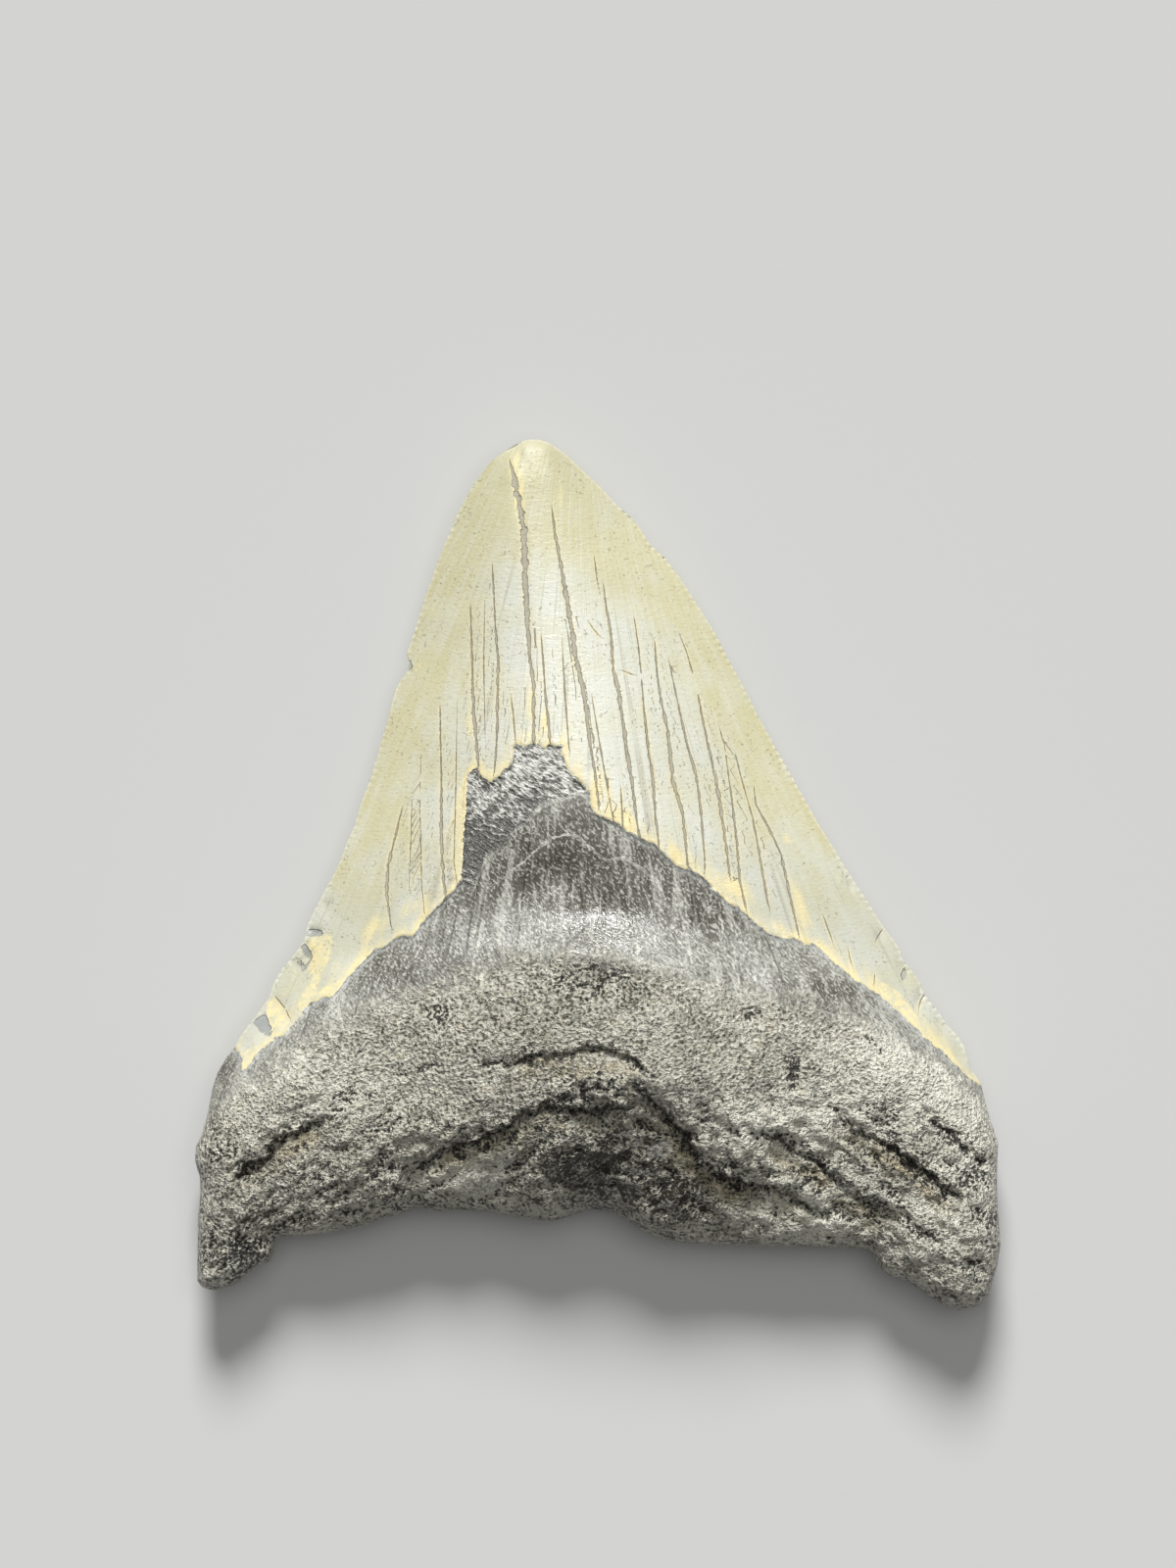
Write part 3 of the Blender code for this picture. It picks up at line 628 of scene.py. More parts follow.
def within(spot, shapes):
    """How far inside the nearest of these closed shapes each point lies, in mm; negative outside."""
    inside = np.full(len(spot), -LINE_REACH)
    for shape in shapes:
        edge = from_grid([*shape, shape[0]])
        turning = np.sign((edge[:-1, 0] * edge[1:, 1] - edge[1:, 0] * edge[:-1, 1]).sum())
        near = close_to(spot, edge, LINE_REACH)
        inside[near] = np.maximum(inside[near], turning * signed(spot[near], edge))
    return inside


# Where the growth lines spread from, and how many millimetres across them a radian counts for
FAN_CENTRE = (-3.0, 125.0)
FAN_SPREAD = 60.0


def fan(spot):
    """Millimetres across the growth lines, which spread downwards from a point above the tip."""
    offset = spot - FAN_CENTRE
    return np.arctan2(offset[:, 0], -offset[:, 1]) * FAN_SPREAD


NOISE_DIMENSION = 0.8
NOISE_GAP = 2.1
NOISE_OCTAVES = 2


def clouds(spot, size, seed):
    """Smooth noise from about -1 to 1, with lumps of this size."""
    places = (Vector((*point, seed)) / size for point in spot)
    return np.array([noise.fractal(place, NOISE_DIMENSION, NOISE_GAP, NOISE_OCTAVES) for place in places])


def plan_noise(spot, size, seeds):
    """Noise along both axes of the plan, to move points by."""
    return np.stack([clouds(spot, size, seed) for seed in seeds], axis=-1)


def patch(low, high, left, right, across, up):
    """Points of the surface patch spanned by four border lines, for shares across and up it."""
    a, u = across[:, None], up[:, None]
    bottom, top = along(low, across), along(high, across)
    west, east = along(left, up), along(right, up)
    corners = (
        (1 - a) * (1 - u) * np.array(low[0]) + a * (1 - u) * np.array(low[-1])
        + (1 - a) * u * np.array(high[0]) + a * u * np.array(high[-1])
    )
    return (1 - u) * bottom + u * top + (1 - a) * west + a * east - corners


# Half the width of the two flat sheets, and half the gap between them
HALF_SHEET = 0.5
CROWN_ROW = 0.4
MARGIN_CROWDING = 0.45


def plan(points):
    """Where the points of the flat unit grid lie in plan: a root patch under a crown patch."""
    across, up = np.clip(np.array(points)[:, :2].T + HALF_SHEET, 0.0, 1.0)
    across = across - MARGIN_CROWDING * np.sin(2 * np.pi * across) / (2 * np.pi)
    spot = np.zeros((len(across), 2))
    root = up <= CROWN_ROW
    spot[root] = patch(ROOT_ARCH, CROWN_BASE, LEFT_ROOT, RIGHT_ROOT, across[root], up[root] / CROWN_ROW)
    crown_up = (up[~root] - CROWN_ROW) / (1 - CROWN_ROW)
    spot[~root] = patch(CROWN_BASE, TIP, LEFT_BLADE, RIGHT_BLADE, across[~root], crown_up)
    return spot


def crown_share(spot, below, above):
    """0 on the root, 1 on the crown, with a smooth change across the base of the crown."""
    base = np.array(CROWN_BASE)
    over = spot[:, 1] - np.interp(spot[:, 0], base[:, 0], base[:, 1])
    return smoothstep(-below, above, over)


LEAN = -8.5
LEAN_GROWTH = 1.6
MIDDLE_POINTS = 80


def blade_share(spot, depth):
    """0 at the cutting edge, 1 on the middle line of the crown, which leans to the left."""
    levels = np.linspace(0.0, LEVEL[-1], MIDDLE_POINTS)
    middle = LEAN * (levels / LEVEL[-1]) ** LEAN_GROWTH
    half_widths = nearest(np.stack([middle, levels], axis=-1), OUTLINE)[0]
    return depth / np.interp(spot[:, 1], levels, np.maximum(half_widths, 1.0))


def dome(share):
    """A rounded edge: a quarter circle from 0 up to 1."""
    return np.sqrt(1.0 - (1.0 - np.clip(share, 0.0, 1.0)) ** 2)


BLADE_EDGE = 0.6
BLADE_FULLNESS = 1.9
REST_SOFTNESS = 0.5
ROOT_SIDE_HEIGHT = 7.6
ROOT_BULGE = 10.0
BULGE_CENTRE = (3.0, 34.0)
BULGE_REACH = (24.0, 15.0)
LOBE_END = (2.0, 16.0)
LOBE_THINNING = 0.28
LOBE_ROUNDING = 5.0
ROOT_ROUNDING = 13.0
LABIAL_ROUNDING = 12.0
LABIAL_SINK = 1.3
LABIAL_SINK_REACH = (4.0, 16.0)

# How far below and above the crown's base the root's shape passes into the crown's
LINGUAL_BLEND = (5.0, 2.0)
LINGUAL_BLEND_MIDDLE = 10.0
BLEND_SPREAD = 25.0
LABIAL_BLEND = (16.0, 8.0)


def smooth_faces(spot, depth):
    """The heights of the lingual and the labial face without relief, as the CAD solid has them."""
    x, y = spot.T
    margin = np.interp(y, LEVEL, MARGIN_HEIGHT)
    blade = 1.0 - (1.0 - np.clip(blade_share(spot, depth), 0.0, 1.0)) ** BLADE_FULLNESS
    crown_rise = np.interp(y, LEVEL, CROWN_HEIGHT) * blade
    crown_sink = np.interp(y, LEVEL, LABIAL_DEPTH) * blade

    past_lobe = smoothstep(*LOBE_END, y)
    rounding = dome(depth / (LOBE_ROUNDING + (ROOT_ROUNDING - LOBE_ROUNDING) * past_lobe))
    side_height = ROOT_SIDE_HEIGHT * (1.0 - LOBE_THINNING * (1.0 - past_lobe))
    root_rise = (side_height + ROOT_BULGE * bell(spot, BULGE_CENTRE, BULGE_REACH)) * rounding
    root_sink = margin * dome(depth / LABIAL_ROUNDING) + LABIAL_SINK * smoothstep(*LABIAL_SINK_REACH, depth)

    middle = np.exp(-((x / BLEND_SPREAD) ** 2))
    lingual_share = crown_share(spot, LINGUAL_BLEND[0] + LINGUAL_BLEND_MIDDLE * middle, LINGUAL_BLEND[1])
    labial_share = crown_share(spot, *LABIAL_BLEND)
    top = margin + BLADE_EDGE / 2 + root_rise + (crown_rise - root_rise) * lingual_share
    low = margin - BLADE_EDGE / 2 - root_sink - (crown_sink - root_sink) * labial_share
    soft = (np.clip(low, -REST_SOFTNESS, REST_SOFTNESS) + REST_SOFTNESS) ** 2 / (4.0 * REST_SOFTNESS)
    return top, np.where(low > REST_SOFTNESS, low, soft)


CRACK_REACH = 0.9
CRACK_TAPER = 0.12
CRACK_SWELL = 0.3


def crack_field(spot, cracks, apart=0.6):
    """Signed distance to the nearest crack, its half width there, and the share along it.

    The half width is 0 far from cracks, and where two of them are about equally near.
    """
    offset = np.full(len(spot), NO_LINE)
    second = np.full(len(spot), NO_LINE)
    half = np.zeros(len(spot))
    share = np.zeros(len(spot))
    for widest, at, line in cracks:
        near = close_to(spot, line, LINE_REACH)
        distance, left, travel = nearest(spot[near], line)
        second[near] = np.minimum(second[near], np.maximum(distance, np.abs(offset[near])))
        closer = distance < np.abs(offset[near])
        near, distance, left, travel = near[closer], distance[closer], left[closer], travel[closer]
        width = widest * (0.5 + 0.6 * np.exp(-(((travel - at) / CRACK_SWELL) ** 2)))
        width *= smoothstep(0.0, CRACK_TAPER, travel)
        offset[near] = np.where(left, distance, -distance)
        half[near] = np.where(distance < CRACK_REACH, width, 0.0)
        share[near] = travel
    return offset, half * smoothstep(apart / 3.0, apart, second - np.abs(offset)), share


LABIAL_CRACKS = 13
LABIAL_CRACK_POINTS = 7
LABIAL_CRACK_SEED = 7


def labial_cracks():
    """Cracks of the labial enamel, fanning out from the tip."""
    random = np.random.default_rng(LABIAL_CRACK_SEED)
    cracks = []
    for column in np.linspace(0.12, 0.88, LABIAL_CRACKS):
        start, end = random.uniform(0.3, 0.62), random.uniform(0.03, 0.16)
        ups = np.linspace(start, end, LABIAL_CRACK_POINTS)
        sway = column + np.cumsum(random.normal(0.0, 0.006, LABIAL_CRACK_POINTS))
        line = patch(LABIAL_EDGE[1:-1], TIP, LEFT_BLADE, RIGHT_BLADE, sway, ups)
        cracks.append((random.uniform(0.06, 0.2), random.uniform(0.4, 0.8), line))
    return cracks


class Surface:
    """The points of one face, with their marks as named numbers and their relief in millimetres."""

    def __init__(self, spot, depth, settings):
        self.spot, self.depth, self.settings = spot, depth, settings
        self.inside = smoothstep(0.0, 2.5, depth)
        self.marks = {}
        self.relief = np.zeros(len(spot))

    def raise_mark(self, name, values):
        """Raises a mark to these values wherever it is lower."""
        self.marks[name] = np.maximum(self.marks.get(name, 0.0), values)

    def fill_marks(self, values):
        """Gives marks the same value all over the face."""
        for name, value in values.items():
            self.marks[name] = np.full(len(self.spot), value)


# How far a notch reaches from the cutting edge, in plan and as a groove of the faces
NOTCH_REACH = 0.45
GROOVE_REACH = 0.7
TANGENT_STEP = 1e-3


def serrate(surface):
    """Grooves the faces behind the notches of the cutting edges, and moves the points that are on them."""
    settings = surface.settings
    pitch, notch = settings.serration_pitch / MM, settings.serration_depth / MM
    for line, inward in ((LEFT_BLADE, 1.0), (RIGHT_BLADE, -1.0)):
        away, _, travel = nearest(surface.spot, line)
        length = step_lengths(line).sum()
        wave = 1.0 - np.sqrt(np.abs(np.sin(np.pi * travel * length / pitch)))
        fresh = 0.55 + 0.45 * np.sin(travel * 23.0 + inward) * np.sin(travel * 61.0)
        ends = smoothstep(0.01, 0.06, travel) * smoothstep(0.01, 0.14, 1.0 - travel)
        cut = notch * wave * fresh * ends
        run = along(line, np.minimum(travel + TANGENT_STEP, 1.0))
        run -= along(line, np.maximum(travel - TANGENT_STEP, 0.0))
        tangent = run / np.hypot(*run.T)[:, None]
        inwards = np.stack([tangent[:, 1], -tangent[:, 0]], axis=-1) * inward
        surface.spot += inwards * (cut * np.exp(-away / NOTCH_REACH))[:, None]
        surface.relief -= 0.8 * cut * np.exp(-((away / GROOVE_REACH) ** 2)) * (away > 0.02)


def ragged(spot, seed):
    """The same points moved a little, so that lines followed through them come out ragged."""
    wide = plan_noise(spot, 2.6, (seed, seed + 14.0))
    fine = plan_noise(spot, 0.8, (seed + 2.0, seed + 19.0))
    return spot + 0.6 * wide + 0.58 * fine


# How far below a ledge the root stands back, and how far from its line the cleft and the ochre lie
LEDGE_FADE = 5.0
CLEFT_OFFSET = 0.3
OCHRE_OFFSET = 1.8


def cut_ledges(surface, rise, warped, pulse, fading):
    """Lowers the relief below each ledge, with a cleft along its foot, painted shadow along the cleft, and
    ochre sediment before it.
    """
    width = np.clip(0.42 + 0.5 * pulse, 0.26, 0.8)
    for line, drop in LEDGES:
        away, above, travel = nearest(warped, line)
        from_end = np.minimum(travel, 1.0 - travel)
        taper, ends = smoothstep(0.0, 0.2, from_end), smoothstep(0.0, 0.1, from_end)
        below = np.where(above, 0.0, 1.0)
        rise -= below * drop * taper * smoothstep(0.0, 0.5, away) * np.exp(-away / LEDGE_FADE)
        cleft = np.exp(-(((away - CLEFT_OFFSET) / width) ** 2)) * ends
        rise -= (0.35 + 0.65 * below) * 0.8 * drop * cleft
        shadow = np.exp(-(((away - CLEFT_OFFSET) / (width + 0.2)) ** 2)) * ends
        surface.raise_mark("hollow_shade", (0.35 + 0.6 * below) * shadow * (0.6 + 0.4 * fading))
        surface.raise_mark("ochre", below * taper * np.exp(-(((away - OCHRE_OFFSET) / 1.3) ** 2)))


def cut_crevices(surface, rise, warped, pulse, fading):
    """Lowers the relief in narrow clefts that widen, narrow and fade along their way, with painted shadow
    along them.
    """
    for line, deep in CREVICES:
        away, _, travel = nearest(warped, line)
        ends = smoothstep(0.0, 0.15, np.minimum(travel, 1.0 - travel))
        width = np.clip(0.34 + 0.55 * pulse, 0.08, 0.9) * min(1.0, deep + 0.45)
        cleft = np.exp(-((away / width) ** 2)) * ends
        rise -= deep * cleft * (0.3 + 0.7 * fading)
        shadow = np.exp(-((away / (width + 0.12)) ** 2)) * ends
        surface.raise_mark("hollow_shade", shadow * min(0.95, deep + 0.3) * fading)


def cut_pits(surface, rise, warped):
    """Lowers the relief in pits, a little ragged, with painted shade on their floors."""
    for centre, reach, deep in PITS:
        pit = bell(0.7 * surface.spot + 0.3 * warped, centre, reach)
        rise -= deep * pit
        surface.raise_mark("hollow_shade", pit * min(1.1, 1.2 * deep))


RUBBLE_SIZE = 1.5
RUBBLE_HEIGHT = 1.3


def heap_rubble(surface):
    """Lumps of a millimetre or two, with painted shade in the gaps between them."""
    rubble = np.zeros(len(surface.spot))
    for centre, reach, high in RUBBLE:
        rubble = np.maximum(rubble, high * bell(surface.spot, centre, reach))
    lumps = clouds(surface.spot, RUBBLE_SIZE, 51.0)
    surface.raise_mark("hollow_shade", 1.5 * rubble * smoothstep(0.05, -0.4, lumps))
    return RUBBLE_HEIGHT * rubble * lumps


# How steeply the root's layers run down to both sides, how thick and how high they are, and how far they
# reach up from the arch
LAYER_SLOPE = 0.62
LAYER_THICKNESS = 1.3
LAYER_HEIGHT = 0.7
LAYER_REACH = (26.0, 14.0)


def lay_layers(surface, warped):
    """Layers of the root that crop out where it is coarse, with painted shade in their grooves."""
    level = warped[:, 1] + LAYER_SLOPE * np.hypot(warped[:, 0], 6.0)
    layers = clouds(np.stack([warped[:, 0] / 3.2, 0.85 * level], axis=-1), LAYER_THICKNESS, 67.0)
    layered = surface.marks["coarse"] * smoothstep(*LAYER_REACH, nearest(surface.spot, ROOT_ARCH)[0])
    surface.raise_mark("hollow_shade", 0.55 * layered * smoothstep(0.12, 0.42, -layers))
    return LAYER_HEIGHT * layered * layers


def strongest(spot, places):
    """The greatest of the bells at these places."""
    return np.max([bell(spot, centre, reach) for centre, reach in places], axis=0)


def coarseness(spot, band, skin):
    """How coarse the root is: smooth by the band, where it is worn, and where its outer skin is left."""
    worn = np.clip(1.0 - 0.75 * sum(bell(spot, centre, reach) for centre, reach in WORN_SMOOTH), 0.15, 1.0)
    below_crest = bell(spot, (-0.5, 42.5), (8.0, 4.0)) * smoothstep(0.3, -0.6, band)
    away_from_band = np.minimum(smoothstep(0.5, -7.0, band) + below_crest, 1.0)
    return worn * away_from_band * (1.0 - 0.9 * skin)


# The crest under the band: height, width above and below it, middle and half length
CREST_HEIGHT = 0.6
CREST_WIDTHS = (4.6, 1.3)
CREST_MIDDLE = 0.3
CREST_SPREAD = 12.0


def root_relief(surface, band):
    """The relief of the lingual root, and its marks: painted shade in hollows, ochre, coarse, smooth skin,
    and painted shade and light over wider places.
    """
    spot, marks = surface.spot, surface.marks
    warped = ragged(spot, 3.0)
    pulse = clouds(spot, 1.7, 23.0)
    fading = smoothstep(-0.4, 0.25, clouds(spot, 4.2, 27.0))
    crest_width = np.where(band > 0.0, *CREST_WIDTHS)
    from_middle = (spot[:, 0] - CREST_MIDDLE) / CREST_SPREAD
    rise = CREST_HEIGHT * np.exp(-((band / crest_width) ** 2) - from_middle**2)
    cut_ledges(surface, rise, warped, pulse, fading)
    cut_crevices(surface, rise, warped, pulse, fading)
    cut_pits(surface, rise, warped)
    rise += heap_rubble(surface)

    marks["skin"] = strongest(warped, SKIN)
    marks["coarse"] = coarseness(spot, band, marks["skin"])
    rise += lay_layers(surface, warped)
    marks["hollow_shade"] *= 1.0 - marks["skin"]

    # Painted shade over wider places of the root, and painted light where a strength is below 0
    swayed = spot + 1.2 * plan_noise(spot, 4.0, (35.0, 39.0))
    marks["shade"] = sum(strength * bell(swayed, centre, reach) for centre, reach, strength in SHADE_AND_LIGHT)
    marks["shade"] *= 1.0 + 0.5 * clouds(spot, 1.5, 33.0)
    return rise


def mark_lingual(surface):
    """Marks and relief of the face that is seen: enamel, cracks, chips, veins, and the root's relief."""
    spot, marks, settings = surface.spot, surface.marks, surface.settings
    columns = np.stack([fan(spot), np.zeros(len(spot))], axis=-1)
    jags = 0.2 * clouds(spot, 0.9, 61.0) + 0.45 * clouds(columns, 1.3, 63.0)
    enamel = signed(spot, ENAMEL_EDGE) + jags * smoothstep(0.5, 2.0, surface.depth)
    band = signed(spot, BAND_EDGE)
    on_enamel = smoothstep(-0.3, 0.0, enamel)
    marks["enamel_mm"], marks["band_mm"] = enamel, band
    marks["fan_mm"] = fan(spot)
    offset, half, share = crack_field(spot, in_plan(CRACKS))
    marks["crack_mm"], marks["crack_half"] = offset, half
    bent = ragged(spot, 71.0) * 0.4 + spot * 0.6
    marks["vein_mm"], vein_half, _ = crack_field(bent, in_plan(VEINS), 0.15)
    marks["vein_half"] = 1.7 * vein_half
    groove = np.exp(-((offset / np.maximum(half, 0.25)) ** 2)) * np.minimum(half / 0.42, 1.0)
    surface.relief += settings.enamel_step / MM * on_enamel
    surface.relief -= settings.crack_depth / MM * groove * on_enamel * surface.inside

    for centre, reach, degrees, deep in CHIPS:
        mark = scar(spot, from_grid(centre), reach, degrees)
        surface.relief -= deep * mark * smoothstep(0.0, 0.6, surface.depth)
    marks["flaked_mm"], marks["yellowed_mm"] = within(spot, FLAKED), within(spot, YELLOWED)
    marks["edge_mm"] = surface.depth

    stain = 0.95 * np.exp(-np.abs(enamel) / 1.5)
    stain += np.where(half > 0.0, 0.25 * np.exp(-np.abs(offset) / 0.35) * (0.3 + 0.7 * share), 0.0)
    for centre, reach, degrees, strength in STAINS:
        stain = np.maximum(stain, strength * turned_bell(spot, from_grid(centre), reach, degrees))
    marks["stain"] = stain
    # Enamel shade: painted shade at the tip, which faces the key light, and darker over the lower crown and
    # away from the brightly lit middle
    marks["enamel_shade"] = 1.0 - bell(spot, (1.0, 72.0), (15.0, 24.0)) + 1.4 * smoothstep(94.0, 108.0, spot[:, 1])
    marks["enamel_shade"] += 1.5 * smoothstep(64.0, 48.0, spot[:, 1])
    marks["grey"] = np.maximum(
        smoothstep(2.0, 12.0, surface.depth) * smoothstep(106.0, 85.0, spot[:, 1]),
        0.8 * smoothstep(66.0, 48.0, spot[:, 1]),
    )
    marks["bare_mm"] = signed(spot, from_grid(BARE_EDGE))
    dark = sum(strength * bell(spot, centre, reach) for centre, reach, strength in BAND_SHADES)
    marks["pale"] = np.clip(0.9 - 1.25 * dark, 0.0, 1.0)
    marks["sheen"] = bell(spot, (-0.5, 49.5), (6.5, 6.0))

    rise = root_relief(surface, band)
    rise += clouds(spot, 11.0, 0.0) * (1.0 - crown_share(spot, 8.0, 0.0))
    grain = settings.root_grain / MM
    lumpy = 0.7 * clouds(spot, 3.4, 5.0) + 0.65 * clouds(spot, 1.3, 8.0)
    rise += grain * lumpy * (0.14 + 0.86 * marks["coarse"])
    growth = np.stack([fan(spot), spot[:, 1] / 2.2], axis=-1)
    rise += 0.1 * clouds(growth, 1.3, 55.0) * smoothstep(-1.0, 1.0, band)
    surface.relief += rise * surface.inside * (1.0 - on_enamel * smoothstep(0.5, 4.0, enamel))


def mark_labial(surface):
    """Marks and relief of the face that the tooth lies on."""
    spot, marks = surface.spot, surface.marks
    enamel = signed(spot + 0.3 * plan_noise(spot, 4.0, (31.0, 37.0)), LABIAL_EDGE)
    on_enamel = smoothstep(-0.35, 0.0, enamel)
    marks["enamel_mm"], marks["band_mm"] = enamel, enamel + 1.2
    marks["fan_mm"], marks["edge_mm"] = fan(spot), surface.depth
    surface.fill_marks({"pale": 0.6, "enamel_shade": 1.0, "sheen": 0.0, "hollow_shade": 0.0, "shade": 0.0})
    surface.fill_marks({"flaked_mm": -LINE_REACH, "yellowed_mm": -LINE_REACH, "bare_mm": -NO_LINE})
    surface.fill_marks({"vein_mm": NO_LINE, "vein_half": 0.0})
    offset, half, share = crack_field(spot, labial_cracks())
    marks["crack_mm"], marks["crack_half"] = offset, half
    stain = 0.7 * np.exp(-np.abs(enamel) / 1.4)
    stain += np.where(half > 0.0, 0.55 * np.exp(-np.abs(offset) / 0.35) * (1.0 - 0.6 * share), 0.0)
    marks["stain"] = stain + 0.3 * np.exp(-surface.depth / 0.9)
    marks["grey"] = smoothstep(1.5, 12.0, surface.depth) * smoothstep(104.0, 80.0, spot[:, 1])
    marks["ochre"] = 0.6 * smoothstep(0.2, 0.7, clouds(spot, 7.0, 41.0))
    marks["skin"] = smoothstep(0.1, 0.6, clouds(spot, 9.0, 43.0))
    marks["coarse"] = smoothstep(0.5, -2.5, enamel) * (1.0 - 0.8 * marks["skin"])
    surface.relief += 0.25 * (1.0 - on_enamel) * surface.inside
    surface.relief += 0.3 * np.abs(clouds(spot, 3.2, 45.0)) * (1.0 - on_enamel) * surface.inside


# Cracks that are finer than this get no finer mesh
FINE_CRACK = 0.13


def wanted_size(spot, is_top):
    """How long the mesh's edges may be at each point, in millimetres: finer by everything that needs it."""
    depth = nearest(spot, OUTLINE)[0]
    blade = np.minimum(nearest(spot, LEFT_BLADE)[0], nearest(spot, RIGHT_BLADE)[0])
    size = np.where(is_top, np.where(signed(spot, BAND_EDGE) > 0.0, 1.3, 0.5), 1.7)
    size = np.minimum(size, 0.7 + 0.3 * depth)
    size = np.minimum(size, 0.26 + 0.4 * blade)
    detail = np.minimum(nearest(spot, ENAMEL_EDGE)[0], NO_LINE)
    cracks = in_plan(crack for crack in CRACKS if crack[0] > FINE_CRACK)
    detail = np.minimum(detail, np.abs(crack_field(spot, cracks)[0]))
    for line, _ in LEDGES + CREVICES:
        detail = np.minimum(detail, np.maximum(nearest(spot, line)[0] - 0.5, 0.0))
    return np.where(is_top, np.minimum(size, 0.36 + 0.5 * detail), size)


def refine(shape):
    """Splits the edges of the two flat sheets wherever they are too long once they lie in plan."""
    shape.verts.index_update()
    spot = plan([vert.co for vert in shape.verts])
    edges = [edge for edge in shape.edges if abs(edge.verts[0].co.z - edge.verts[1].co.z) < HALF_SHEET]
    ends = np.array([(edge.verts[0].index, edge.verts[1].index) for edge in edges])
    is_top = np.array([edge.verts[0].co.z > HALF_SHEET for edge in edges])
    lengths = np.hypot(*(spot[ends[:, 0]] - spot[ends[:, 1]]).T)
    too_long = lengths > wanted_size((spot[ends[:, 0]] + spot[ends[:, 1]]) / 2, is_top)
    chosen = [edge for edge, split in zip(edges, too_long) if split]
    bmesh.ops.subdivide_edges(shape, edges=chosen, cuts=1, use_grid_fill=True, use_single_edge=True)


COLUMNS = 62
ROWS = 74
REFINING_ROUNDS = 4
PULL_REACH = 0.13


def flat_sheets():
    """Two flat unit grids joined at their borders, split finely enough for their details."""
    shape = bmesh.new()
    bmesh.ops.create_grid(shape, x_segments=COLUMNS, y_segments=ROWS, size=HALF_SHEET)
    raised = bmesh.ops.extrude_face_region(shape, geom=shape.faces[:], use_keep_orig=True)
    upper = [part for part in raised["geom"] if isinstance(part, bmesh.types.BMVert)]
    bmesh.ops.translate(shape, vec=(0.0, 0.0, 1.0), verts=upper)
    for _ in range(REFINING_ROUNDS):
        refine(shape)
    bmesh.ops.recalc_face_normals(shape, faces=shape.faces[:])
    return shape


# The labial relief stays under this share of the face's height
LABIAL_RELIEF = 0.3


def shape_tooth(mesh, settings):
    """Moves the flat sheets' points onto the tooth's two faces, and stores the marks as attributes."""
    points = np.empty(len(mesh.vertices) * 3, np.float32)
    mesh.vertices.foreach_get("co", points)
    points = points.reshape(-1, 3)
    is_top = points[:, 2] > HALF_SHEET
    flat = plan(points)
    depth = nearest(flat, OUTLINE)[0]
    calm_depth = np.maximum(-signed(flat, ring(calm(LEFT_BLADE), calm(RIGHT_BLADE))), 0.0)
    distance, _, share = nearest(flat, ENAMEL_EDGE)
    pulled = is_top & (distance < PULL_REACH) & (depth > 1.0)
    flat[pulled] = along(ENAMEL_EDGE, share[pulled])

    placed = np.zeros_like(points)
    marks = {}
    for chosen, mark, face in ((is_top, mark_lingual, 0), (~is_top, mark_labial, 1)):
        surface = Surface(flat[chosen].copy(), depth[chosen], settings)
        heights = smooth_faces(surface.spot, calm_depth[chosen])[face]
        serrate(surface)
        mark(surface)
        relief = surface.relief if face == 0 else np.minimum(surface.relief, heights * LABIAL_RELIEF)
        placed[chosen, :2] = surface.spot
        placed[chosen, 2] = heights + relief
        for name, values in surface.marks.items():
            marks.setdefault(name, np.zeros(len(points), np.float32))[chosen] = values
    low, high = np.array(OUTLINE).min(axis=0), np.array(OUTLINE).max(axis=0)
    cad_low, cad_high = (np.array(corner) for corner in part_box("tooth"))
    placed[:, :2] += (cad_low + cad_high)[:2] / 2 / MM - (low + high) / 2
    mesh.vertices.foreach_set("co", (placed * MM).ravel())
    for name, values in marks.items():
        attribute = mesh.attributes.new(name, "FLOAT", "POINT")
        attribute.data.foreach_set("value", values.astype(np.float32))
    mesh.update()


